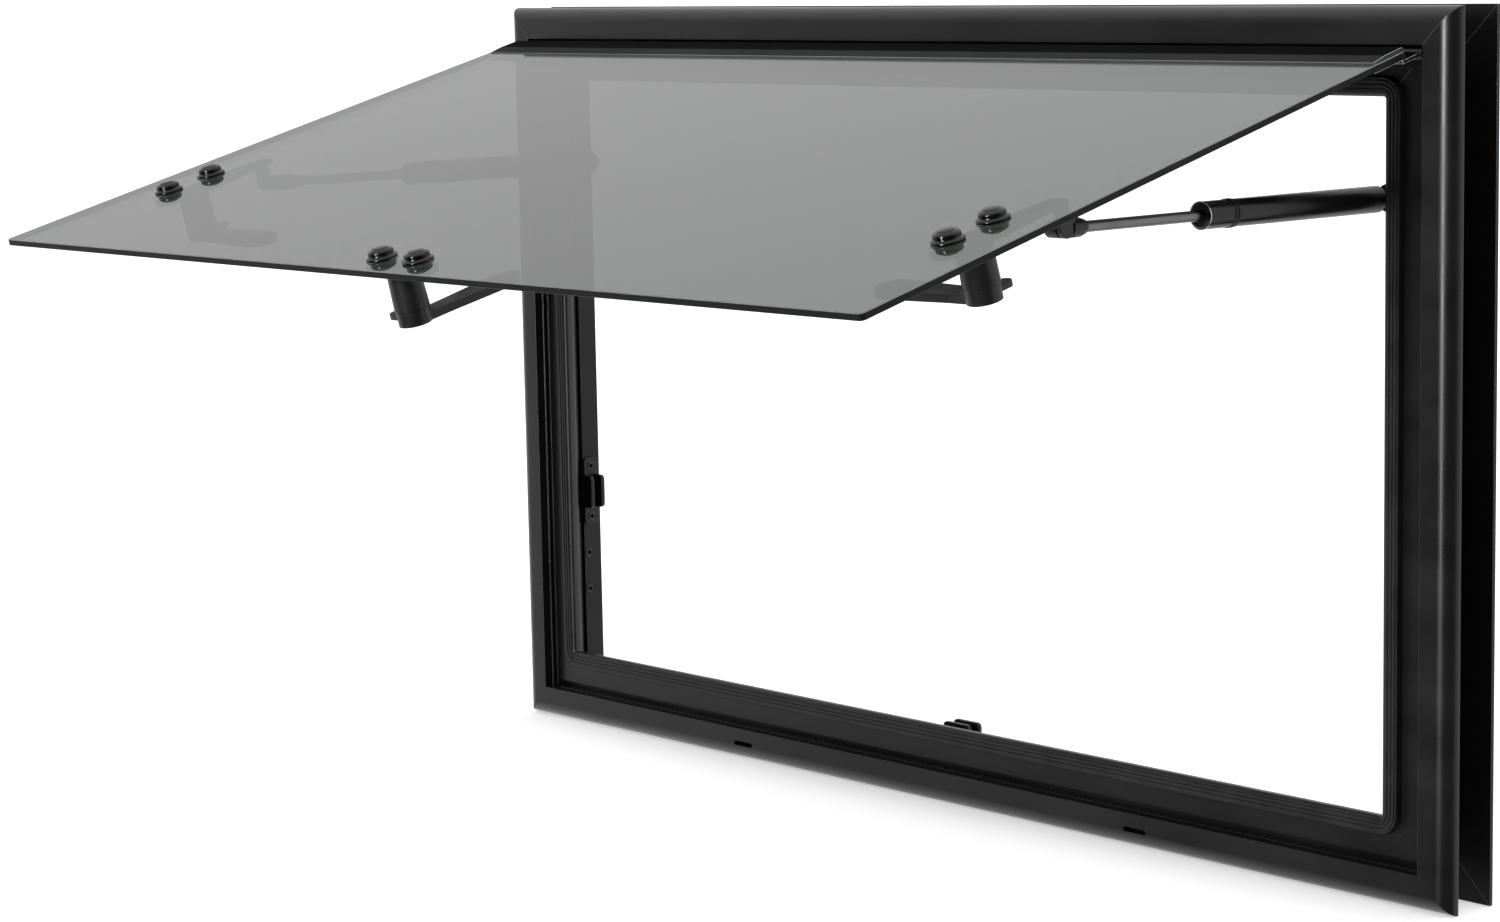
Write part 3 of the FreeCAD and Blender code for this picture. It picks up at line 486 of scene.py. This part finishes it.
def powder_coat(name, colour, roughness, grain, sheen=0.5):
    """Satin powder coat: orange peel, cloudy gloss and a faint haze of handling."""
    material, tree, shader, where = material_with(name, colour, roughness)
    shader.inputs["Specular IOR Level"].default_value = sheen
    clouds = noise(tree, where, size=0.09, detail=4.0)
    tree.links.new(blend_colours(tree, span(tree, clouds, 0, 1), scaled(colour, 0.86),
                                 scaled(colour, 1.22)), shader.inputs["Base Color"])
    patches = noise(tree, where, size=0.03, detail=5.0, stretch=(3, 1, 1))
    tree.links.new(span(tree, patches, roughness - 0.05, roughness + 0.07), shader.inputs["Roughness"])
    peel = noise(tree, where, grain, detail=2.0)
    bump(tree, shader, peel, strength=0.22, distance=grain * 0.06)
    return material


def rubber(name, colour):
    """Dull rubber with a faint bloom."""
    material, tree, shader, where = material_with(name, colour, 0.42)
    shader.inputs["Specular IOR Level"].default_value = 0.5
    bloom = noise(tree, where, size=0.02, detail=5.0)
    tree.links.new(blend_colours(tree, span(tree, bloom, 0, 1), scaled(colour, 0.8), scaled(colour, 1.7)),
                   shader.inputs["Base Color"])
    tree.links.new(span(tree, bloom, 0.36, 0.5), shader.inputs["Roughness"])
    bump(tree, shader, noise(tree, where, size=0.0006), strength=0.3, distance=0.00006)
    return material


def moulded_plastic(name, colour, roughness, grain=0.0005, height=0.00004, sheen=0.5):
    """Moulded plastic with a fine grain and the flow marks of its mould."""
    material, tree, shader, where = material_with(name, colour, roughness)
    shader.inputs["Specular IOR Level"].default_value = sheen
    flow = noise(tree, where, size=0.012, detail=4.0)
    tree.links.new(blend_colours(tree, span(tree, flow, 0, 1), scaled(colour, 0.85), scaled(colour, 1.35)),
                   shader.inputs["Base Color"])
    tree.links.new(span(tree, flow, roughness - 0.06, roughness + 0.08), shader.inputs["Roughness"])
    bump(tree, shader, noise(tree, where, grain, detail=2.0), strength=0.35, distance=height)
    return material


def drawn_steel(name, colour, roughness, stretch):
    """Steel with fine lines along one way."""
    material, tree, shader, where = material_with(name, colour, roughness, 1.0)
    lines = noise(tree, where, size=0.0009, stretch=stretch)
    tree.links.new(blend_colours(tree, span(tree, lines, 0, 1), scaled(colour, 0.7), scaled(colour, 1.3)),
                   shader.inputs["Base Color"])
    tree.links.new(span(tree, lines, roughness - 0.06, roughness + 0.1), shader.inputs["Roughness"])
    bump(tree, shader, lines, strength=0.15, distance=0.00003)
    return material


def tinted_glass(name, tint, cover, roughness):
    """Dark glass that lets a little light through and mirrors what lies above it."""
    material, tree, shader, where = material_with(name, tint, roughness)
    shader.inputs["IOR"].default_value = 1.5
    shader.inputs["Alpha"].default_value = cover
    film = noise(tree, where, size=0.16, stretch=(2.5, 1, 1))
    tree.links.new(blend_colours(tree, span(tree, film, 0, 1), scaled(tint, 0.9), scaled(tint, 1.12)),
                   shader.inputs["Base Color"])
    tree.links.new(span(tree, film, roughness * 0.8, roughness * 1.4), shader.inputs["Roughness"])
    material.blend_method = "BLEND"
    return material


MATERIALS = {}
COLOURS = {
    # The leaf's near-black is painted shade, a darker near-matte copy of the coat, and the slope's lighter grey a
    # painted reflection
    "leaf": (0.0035, 0.0035, 0.0038, 1), "slope": (0.03, 0.03, 0.031, 1),
    # The leaf's rim colour is a painted highlight on its rounded edges
    "leaf nose highlight": (0.42, 0.42, 0.43, 1), "seal": (0.004, 0.004, 0.0044, 1),
    # The near-black for the screws' sockets is painted shade
    "cap": (0.002, 0.002, 0.0022, 1), "hole": (0.0004, 0.0004, 0.0004, 1),
    "bright": (0.62, 0.62, 0.63, 1), "ground edge": (0.003, 0.0035, 0.0033, 1),
    # The arris colour is a painted highlight on the glass's outer arris
    "arris": (0.16, 0.165, 0.165, 1)}


def finish(name):
    """One of the window's finishes, made when it is first asked for."""
    if name not in MATERIALS:
        scene = bpy.context.scene
        coat, glass, fitting = scene.window_coat, scene.window_glass, scene.window_fittings
        makers = {
            "frame coat": lambda: powder_coat("frame_coat", coat.colour, coat.roughness, coat.grain),
            "ring coat": lambda: powder_coat("ring_coat", coat.ring_colour, 0.42, coat.grain,
                                             sheen=0.35),
            # Painted highlight: a light grey on the rounded edges of frame and ring
            "edge highlight": lambda: powder_coat("coat_edge", coat.edge_highlight_colour, 0.3, coat.grain, sheen=0.8),
            # Painted shade and painted reflection: darker and lighter near-matte copies of the leaf's coat
            "leaf painted shade": lambda: powder_coat("leaf_coat", COLOURS["leaf"], 0.8, coat.grain, sheen=0.02),
            "leaf painted reflection": lambda: powder_coat("leaf_slope", COLOURS["slope"], 0.8, coat.grain,
                                              sheen=0.04),
            # Painted highlight: a bright grey on the hinge leaf's rounded edges
            "leaf nose highlight": lambda: powder_coat("leaf_rim", COLOURS["leaf nose highlight"], 0.4, coat.grain),
            "seal": lambda: rubber("seal_rubber", COLOURS["seal"]),
            "plastic": lambda: moulded_plastic("moulded_plastic", fitting.plastic, 0.36, sheen=0.4),
            "cap": lambda: moulded_plastic("glossy_cap", COLOURS["cap"], 0.24, grain=0.0016,
                                           height=0.00002),
            "lever": lambda: moulded_plastic("lever_plastic", fitting.plastic, 0.34, grain=0.0006,
                                             height=0.00003, sheen=0.4),
            "strut paint": lambda: powder_coat("strut_paint", fitting.strut_colour, 0.24, 0.0007,
                                               sheen=0.3),
            "rod": lambda: drawn_steel("blackened_rod", fitting.steel, 0.26, stretch=(1, 26, 1)),
            "screw": lambda: drawn_steel("screw_steel", scaled(fitting.steel, 0.35), 0.35,
                                         stretch=(1, 1, 6)),
            # Painted shade: a near-black for the plugs in the screws' sockets
            "hole": lambda: moulded_plastic("dark_hole", COLOURS["hole"], 0.8, sheen=0.02),
            "bright ring": lambda: drawn_steel("bright_ring", COLOURS["bright"], 0.22,
                                               stretch=(1, 1, 1)),
            "glass": lambda: tinted_glass("tinted_glass", glass.tint, glass.cover, glass.roughness),
            "glass edge": lambda: moulded_plastic("ground_edge", COLOURS["ground edge"], 0.45,
                                                  grain=0.0004, height=0.00002, sheen=0.15),
            # Painted highlight: a light grey on the glass's outer arris
            "arris": lambda: moulded_plastic("polished_arris", COLOURS["arris"], 0.25, grain=0.0005,
                                             height=0.00002),
        }
        MATERIALS[name] = makers[name]()
    return MATERIALS[name]


def body_of(node):
    """The body that carries a CAD node."""
    for body, nodes in RECORD["behaviour"]["bodies"].items():
        if node in nodes:
            return body
    raise RuntimeError("no body carries " + node)


def dress(node, material, slot, edge=None, segments=2, rim=None, mesh=None):
    """A dressed copy of one CAD node, with rounded edges that may carry a second material as a painted highlight.
    """
    piece = new_object(node + "_dressed", mesh or part_mesh(node))
    piece.data.materials.append(finish(material))
    if rim:
        piece.data.materials.append(finish(rim))
    if edge:
        soften(piece, edge, segments, rim=rim is not None)
    else:
        settle(piece)
    return finish_piece(piece, body_of(node), None, slot, node)


def axis_of(node):
    """A long node's middle line: its middle, its direction away from the pane, and its two ends."""
    points = numpy.array([tuple(v.co) for v in frame["nodes"][node].data.vertices])
    middle = (points.min(axis=0) + points.max(axis=0)) / 2
    spread = points - points.mean(axis=0)
    direction = numpy.linalg.eigh(spread.T @ spread)[1][:, 2]
    if direction[1] < 0:
        direction = -direction
    along = (points - middle) @ direction
    return Vector(middle), Vector(direction), float(along.min()), float(along.max())


def split_solids(node):
    """The boxes of a node's separate solids, from left to right."""
    work = bmesh.new()
    work.from_mesh(part_mesh(node))
    left = set(work.verts)
    boxes = []
    while left:
        front = [left.pop()]
        cluster = list(front)
        while front:
            vert = front.pop()
            for edge in vert.link_edges:
                other = edge.other_vert(vert)
                if other in left:
                    left.discard(other)
                    front.append(other)
                    cluster.append(other)
        points = [v.co.copy() for v in cluster]
        boxes.append((Vector([min(p[i] for p in points) for i in range(3)]),
                      Vector([max(p[i] for p in points) for i in range(3)])))
    work.free()
    return sorted(boxes, key=lambda box: tuple(box[0]))


def on_outer_face(point):
    """The place straight below or above a point on the pane's outer face."""
    height = max(v.co.dot(NORMAL) for v in frame["nodes"]["glass_pane"].data.vertices)
    return point + NORMAL * (height - point.dot(NORMAL))


class WINDOW_OT_frame(bpy.types.Operator):
    """Dress the four mitred rails of the frame."""
    bl_idname = "caravan_window.frame"
    bl_label = "Frame rails"

    def execute(self, context):
        for side in SIDES:
            # Their rounded edges carry a light grey painted highlight
            dress(RAILS[side], "frame coat", "frame_paint", context.scene.window_coat.edge,
                  rim="edge highlight")
        return {"FINISHED"}


class WINDOW_OT_ring(bpy.types.Operator):
    """Dress the clamp ring behind the wall."""
    bl_idname = "caravan_window.ring"
    bl_label = "Clamp ring"

    def execute(self, context):
        for side in SIDES:
            # Its rounded edges carry a light grey painted highlight
            dress("clamp_" + side, "ring coat", "ring_paint", context.scene.window_coat.edge,
                  rim="edge highlight")
        return {"FINISHED"}


class WINDOW_OT_seal(bpy.types.Operator):
    """The rubber seal as one ring with fine ridges on its face and rounded corners."""
    bl_idname = "caravan_window.seal"
    bl_label = "Glass seal"

    OUTER, INNER, FRONT, BACK, CORNER = 0.0385, 0.0495, 0.0035, 0.0140, 0.0510
    FACE, RIDGES = (0.0397, 0.0478), (0.0412, 0.0436, 0.0460)
    RIDGE_FOOT, RIDGE_TOP, RIDGE_ROUND = 0.0008, 0.0007, 0.0001
    # The ring's roundings, as (inset, depth) from its outer and inner edge and from its back
    OUTER_ROUND = ((0.0, 0.0016), (0.0005, 0.0006))
    INNER_ROUND = ((-0.0002, 0.0018), (0.0, 0.0030))
    HEEL = ((-0.0008, -0.0030), (-0.0024, -0.0006), (-0.0034, 0.0))
    FACE_BEVEL, BACK_BEVEL = (0.0009, 0.0006), 0.0015

    def profile(self, rise):
        """The ring's section as (inset, depth), its ridges standing rise above the grooves."""
        groove = self.FRONT + rise
        points = [(self.OUTER + inset, self.FRONT + depth) for inset, depth in self.OUTER_ROUND]
        points.append((self.FACE[0], groove))
        for place in self.RIDGES:
            points += [(place - self.RIDGE_FOOT, groove),
                       (place - self.RIDGE_TOP, self.FRONT + self.RIDGE_ROUND),
                       (place, self.FRONT),
                       (place + self.RIDGE_TOP, self.FRONT + self.RIDGE_ROUND),
                       (place + self.RIDGE_FOOT, groove)]
        points += [(self.FACE[1], groove),
                   (self.FACE[1] + self.FACE_BEVEL[0], groove + self.FACE_BEVEL[1])]
        points += [(self.INNER + inset, self.FRONT + depth) for inset, depth in self.INNER_ROUND]
        points += [(self.INNER + inset, self.BACK + depth) for inset, depth in self.HEEL]
        return points + [(self.OUTER + self.BACK_BEVEL, self.BACK),
                         (self.OUTER, self.BACK - self.BACK_BEVEL)]

    def execute(self, context):
        profile = self.profile(context.scene.window_fittings.seal_ridge)
        piece = new_object("glass_seal_ring", swept_ring("glass_seal_ring", profile, self.CORNER))
        settle(piece, 42)
        finish_piece(piece, "window", finish("seal"), "seal_rubber", *["seal_" + side for side in SIDES])
        return {"FINISHED"}


class WINDOW_OT_hinge(bpy.types.Operator):
    """Dress the hinge's channel, leaf and end stops, and set its pins."""
    bl_idname = "caravan_window.hinge"
    bl_label = "Hinge"

    # Least area of a large face in square metres, and how far it leans from the pane's normal
    LARGE, ALONG, FLAT = 1e-5, 0.8, 0.999

    def execute(self, context):
        edge = context.scene.window_coat.edge
        dress("hinge_channel", "frame coat", "frame_paint", edge=edge * 0.6)
        # The leaf's rounded edges carry a bright grey painted highlight
        leaf = dress("hinge_leaf", "frame coat", "frame_paint", edge, rim="leaf nose highlight")
        for look in ("leaf painted shade", "leaf painted reflection"):
            leaf.data.materials.append(finish(look))
        # Large faces flat to the pane, or facing back, take the darker copy as painted shade; faces tilted a
        # little from it take the lighter copy as a painted reflection
        for face in leaf.data.polygons:
            facing = face.normal.dot(NORMAL)
            if face.area > self.LARGE and abs(facing) > self.ALONG:
                face.material_index = 2 if facing > self.FLAT or facing < 0 else 3
        low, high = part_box("hinge_channel")
        middle = (low + high) / 2
        places = []
        for side, hand in HANDS.items():
            stop = side + "_hinge_stop"
            dress(stop, "plastic", "black_plastic", edge=0.0003)
            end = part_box(stop)[1 if hand > 0 else 0]
            places.append((Vector((end.x, middle.y, middle.z)), ACROSS * hand, UP))
        pins = repeated("hinge_pins", HINGE_PIN, places, finish("screw"))
        finish_piece(pins, "window", None, "rod_steel")
        return {"FINISHED"}


class WINDOW_OT_pane(bpy.types.Operator):
    """The tinted pane with its ground edge, and a light grey painted highlight on its arris."""
    bl_idname = "caravan_window.pane"
    bl_label = "Pane"

    # How far a large face, and at least the outer arris, leans towards the pane's normal
    FLAT, ARRIS = 0.95, 0.3

    def execute(self, context):
        piece = new_object("glass_pane_dressed", part_mesh("glass_pane"))
        settle(piece, 20)
        for name in ("glass", "glass edge", "arris"):
            piece.data.materials.append(finish(name))
        for face in piece.data.polygons:
            lean = face.normal.dot(NORMAL)
            # Faces leaning outward past the arris limit take the light grey as a painted highlight
            face.material_index = 0 if abs(lean) > self.FLAT else 2 if lean > self.ARRIS else 1
        finish_piece(piece, "window", None, "tinted_glass", "glass_pane")
        return {"FINISHED"}


class WINDOW_OT_caps(bpy.types.Operator):
    """The domed caps of the latches' bolts."""
    bl_idname = "caravan_window.caps"
    bl_label = "Bolt caps"

    def execute(self, context):
        for latch in LATCHES:
            node = latch + "_bolt_caps"
            places = [(on_outer_face((low + high) / 2), NORMAL, ACROSS)
                      for low, high in split_solids(node)]
            piece = repeated(node + "_domed", CAP, places, finish("cap"))
            finish_piece(piece, "window", None, "black_plastic", node)
        return {"FINISHED"}


class WINDOW_OT_latches(bpy.types.Operator):
    """The latches' plates and posts, and the levers that turn on them."""
    bl_idname = "caravan_window.latches"
    bl_label = "Latches"

    def execute(self, context):
        for latch in LATCHES:
            dress(latch + "_latch_bracket", "plastic", "black_plastic", edge=0.0004)
            dress(latch + "_latch_lever", "lever", "lever_plastic", edge=0.0006, segments=3)
        return {"FINISHED"}


class WINDOW_OT_struts(bpy.types.Operator):
    """The gas struts with their tubes, rods, end fittings and feet."""
    bl_idname = "caravan_window.struts"
    bl_label = "Gas struts"

    TUBE = 0.0075
    # Distances from the tube's open end, and of the last band from its closed one
    END_RING_AT, BANDS_AT, LAST_BAND, SMOOTH = 0.0013, (0.0210, 0.0236), 0.0060, (0.010, 0.045)

    def tube_mesh(self, node, middle, away, near):
        """The tube's mesh with the solid's own neck pressed flush, because the bands stand for it."""
        mesh = part_mesh(node)
        start, stop = (near + distance for distance in self.SMOOTH)
        for vert in mesh.vertices:
            along = (vert.co - middle).dot(away)
            out = vert.co - middle - away * along
            if start < along < stop and out.length > self.TUBE * 0.75:
                vert.co += out * (self.TUBE / out.length - 1)
        return mesh

    def execute(self, context):
        bands, rings = [], []
        for side in HANDS:
            node = side + "_strut_tube"
            middle, away, near, far = axis_of(node)
            mesh = self.tube_mesh(node, middle, away, near)
            dress(node, "strut paint", "strut_paint", edge=0.0012, segments=4, mesh=mesh)
            rings.append((middle + away * (near + self.END_RING_AT), away, ACROSS))
            for distance in [near + step for step in self.BANDS_AT] + [far - self.LAST_BAND]:
                bands.append((middle + away * distance, away, ACROSS))
            dress(side + "_strut_rod", "rod", "rod_steel")
            dress(side + "_rod_end", "plastic", "black_plastic", edge=0.0004)
            dress(side + "_strut_foot", "frame coat", "frame_paint", edge=0.0003)
        for name, outline, places, look, slot in (
                ("strut_bands", ROLLED_BAND, bands, "strut paint", "strut_paint"),
                ("strut_bright_rings", END_RING, rings, "bright ring", "rod_steel")):
            finish_piece(repeated(name, outline, places, finish(look)), "window", None, slot)
        return {"FINISHED"}


class WINDOW_OT_keepers(bpy.types.Operator):
    """The three keepers, each a plate with two upright lips, and the screws round the opening."""
    bl_idname = "caravan_window.keepers"
    bl_label = "Keepers"

    LENGTH, THICK, LIP, TALL, LIP_LENGTH, LIFT = 0.048, 0.0015, 0.0027, 0.0095, 0.023, 0.006
    CORNER, EDGE = 0.003, 0.0005
    REVEAL_HEIGHTS, REVEAL_DEPTH = (0.080, 0.106), 0.020

    def keeper_mesh(self, name, turn, wide):
        """A keeper's plate and lips, laid by a matrix on its seat."""
        work = bmesh.new()
        half = self.LENGTH / 2
        slab(work, rounded(-half, -wide, half, wide, self.CORNER, self.CORNER), turn, self.THICK)
        for start in (-wide, wide - self.LIP):
            upright = turn @ Matrix.Translation((0, start + self.LIP, 0)) @ Matrix.Rotation(
                math.pi / 2, 4, "X")
            slab(work, rounded(-self.LIP_LENGTH / 2, 0, self.LIP_LENGTH / 2, self.TALL, self.CORNER),
                 upright, self.LIP)
        bmesh.ops.recalc_face_normals(work, faces=work.faces)
        return mesh_of(name, work)

    def execute(self, context):
        look = context.scene.window_fittings
        screws = []
        for side, up, along in (("left", ACROSS, UP), ("right", -ACROSS, UP), ("sill", UP, ACROSS)):
            node = side + "_keeper"
            low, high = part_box(node)
            size = high - low
            seat = (low + high) / 2 - up * abs(size.dot(up)) / 2
            if side != "sill":
                seat += along * self.LIFT
            mesh = self.keeper_mesh(node, axes(along, up.cross(along), up, seat), size.y / 2)
            piece = soften(new_object(node + "_moulded", mesh), self.EDGE, 3)
            finish_piece(piece, "window", finish("plastic"), "black_plastic", node)
            screws += [(seat + along * shift + up * self.THICK, up, along)
                       for shift in (-look.screw_step, look.screw_step)]
        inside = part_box("clamp_left")[1].x
        for z in self.REVEAL_HEIGHTS:
            for hand in (1, -1):
                screws.append((Vector((hand * inside, self.REVEAL_DEPTH, z)), ACROSS * hand, UP))
        scale = look.screw_head / (2 * SCREW[0][0])
        # The screws, and near-black plugs in their sockets as painted shade
        for name, outline, steel in (("reveal_screws", SCREW, "screw"),
                                     ("screw_holes", SOCKET_SHADE_PLUG, "hole")):
            piece = repeated(name, outline, screws, finish(steel), scale)
            finish_piece(piece, "window", None, "rod_steel")
        return {"FINISHED"}


def studio_world(light, shade):
    """An even white light, which gloss sees as a white room with a dark side in front at the right."""
    left_end, right_end, overhead = (-58, -38), (85, 125), (0.3, 0.75)
    world = bpy.data.worlds.new("studio_light")
    world.use_nodes = True
    tree = world.node_tree

    def worked_out(kind, first, second=0.0):
        node = tree.nodes.new("ShaderNodeMath")
        node.operation = kind
        for socket, value in zip(node.inputs, (first, second)):
            if isinstance(value, bpy.types.NodeSocket):
                tree.links.new(value, socket)
            else:
                socket.default_value = value
        return node.outputs[0]

    where = tree.nodes.new("ShaderNodeTexCoord").outputs["Generated"]
    parts = tree.nodes.new("ShaderNodeSeparateXYZ")
    tree.links.new(where, parts.inputs[0])
    turn = worked_out("ARCTAN2", parts.outputs["X"],
                      worked_out("MULTIPLY", parts.outputs["Y"], -1.0))
    left, right = (span(tree, turn, low, high, *(math.radians(angle) for angle in ends), "SMOOTHSTEP")
                   for low, high, ends in ((1, shade, left_end), (shade, 1, right_end)))
    steep = span(tree, worked_out("ABSOLUTE", parts.outputs["Z"]), shade, 1, *overhead, "SMOOTHSTEP")
    room = worked_out("MAXIMUM", worked_out("MAXIMUM", left, right), steep)
    path = tree.nodes.new("ShaderNodeLightPath").outputs["Is Glossy Ray"]
    mix = tree.nodes.new("ShaderNodeMix")
    for socket, value in (("Factor", path), ("B", room)):
        tree.links.new(value, mix.inputs[socket])
    mix.inputs["A"].default_value = 1.0
    background = tree.nodes["Background"]
    background.inputs["Color"].default_value = (1, 1, 1, 1)
    tree.links.new(worked_out("MULTIPLY", mix.outputs["Result"], light),
                   background.inputs["Strength"])
    return world


class WINDOW_OT_stage(bpy.types.Operator):
    """A plain pale floor, even soft light, a strip light and the camera."""
    bl_idname = "caravan_window.stage"
    bl_label = "Studio"

    FLOOR_SIZE, FLOOR_DROP = 60, 0.0004
    STRIP_SIZE, STRIP_PLACE = (0.12, 2.4), (0.40, -4.0, 0.50)
    CAMERA_PLACE, CAMERA_TURN = (1.600, -1.588, 0.525), (48.16, 7.98, -1.13)

    def add_floor(self, look):
        low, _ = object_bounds()
        work = bmesh.new()
        bmesh.ops.create_grid(work, x_segments=4, y_segments=4, size=self.FLOOR_SIZE)
        for vert in work.verts:
            vert.co.z = low.z - self.FLOOR_DROP
        floor = new_object("studio_floor", mesh_of("studio_floor", work))
        material, tree, shader, where = material_with("floor_paint", look.floor, 0.9)
        shader.inputs["Specular IOR Level"].default_value = 0.0
        shader.inputs["Emission Color"].default_value = (1, 1, 1, 1)
        shader.inputs["Emission Strength"].default_value = look.glow
        mottle = noise(tree, where, size=0.5, detail=2.0)
        tree.links.new(blend_colours(tree, span(tree, mottle, 0, 1), scaled(look.floor, 0.995),
                                     look.floor), shader.inputs["Base Color"])
        floor.data.materials.append(material)
        floor.visible_glossy = False
        floor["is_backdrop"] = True

    def add_strip(self, look):
        """An upright light in front that only gloss and shiny edges show."""
        strip = bpy.data.lights.new("strip", "AREA")
        strip.shape, strip.energy = "RECTANGLE", look.strip
        strip.size, strip.size_y = self.STRIP_SIZE
        lamp = new_object("strip", strip)
        lamp.visible_diffuse = False
        lamp.matrix_world = axes(-ACROSS, UP, (0, -1, 0), self.STRIP_PLACE)

    def add_camera(self, look):
        """The camera at the photograph's viewing angle."""
        yaw, pitch, roll = (math.radians(angle) for angle in self.CAMERA_TURN)
        ahead = Vector((-math.sin(yaw) * math.cos(pitch), math.cos(yaw) * math.cos(pitch),
                        -math.sin(pitch)))
        level = Vector((math.cos(yaw), math.sin(yaw), 0))
        above = level.cross(ahead)
        side = level * math.cos(roll) + above * math.sin(roll)
        top = above * math.cos(roll) - level * math.sin(roll)
        data = bpy.data.cameras.new("camera")
        data.lens = look.lens
        data.sensor_width = 36
        data.clip_end = 200
        camera = new_object("camera", data)
        camera.matrix_world = axes(side, top, -ahead, self.CAMERA_PLACE)
        return camera

    def execute(self, context):
        look = context.scene.window_stage
        self.add_floor(look)
        context.scene.world = studio_world(look.light, look.shade)
        self.add_strip(look)
        context.scene.camera = self.add_camera(look)
        context.scene.view_settings.view_transform = "Standard"
        return {"FINISHED"}


OPERATORS = (WINDOW_OT_frame, WINDOW_OT_ring, WINDOW_OT_seal, WINDOW_OT_hinge, WINDOW_OT_pane,
             WINDOW_OT_caps, WINDOW_OT_latches, WINDOW_OT_struts, WINDOW_OT_keepers,
             WINDOW_OT_stage)
GROUPS = {"window_coat": CoatLooks, "window_glass": GlassLooks, "window_fittings": FittingLooks,
          "window_stage": StageLooks}


class WINDOW_PT_panel(bpy.types.Panel):
    """The window's pieces and looks in the sidebar."""
    bl_label = "Caravan Window"
    bl_space_type = "VIEW_3D"
    bl_region_type = "UI"
    bl_category = "Window"

    def draw(self, context):
        for group in GROUPS:
            box = self.layout.box()
            looks = getattr(context.scene, group)
            for name in looks.__annotations__:
                box.prop(looks, name)
        for operator in OPERATORS:
            self.layout.operator(operator.bl_idname)


CLASSES = (*GROUPS.values(), *OPERATORS, WINDOW_PT_panel)


def register():
    for kind in CLASSES:
        bpy.utils.register_class(kind)
    for name, group in GROUPS.items():
        setattr(bpy.types.Scene, name, bpy.props.PointerProperty(type=group))


def unregister():
    for name in GROUPS:
        delattr(bpy.types.Scene, name)
    for kind in reversed(CLASSES):
        bpy.utils.unregister_class(kind)


def main():
    register()
    make = bpy.ops.caravan_window
    make.frame()
    make.ring()
    make.seal()
    make.hinge()
    make.pane()
    make.caps()
    make.latches()
    make.struts()
    make.keepers()
    make.stage()


if __name__ == "__main__":
    main()
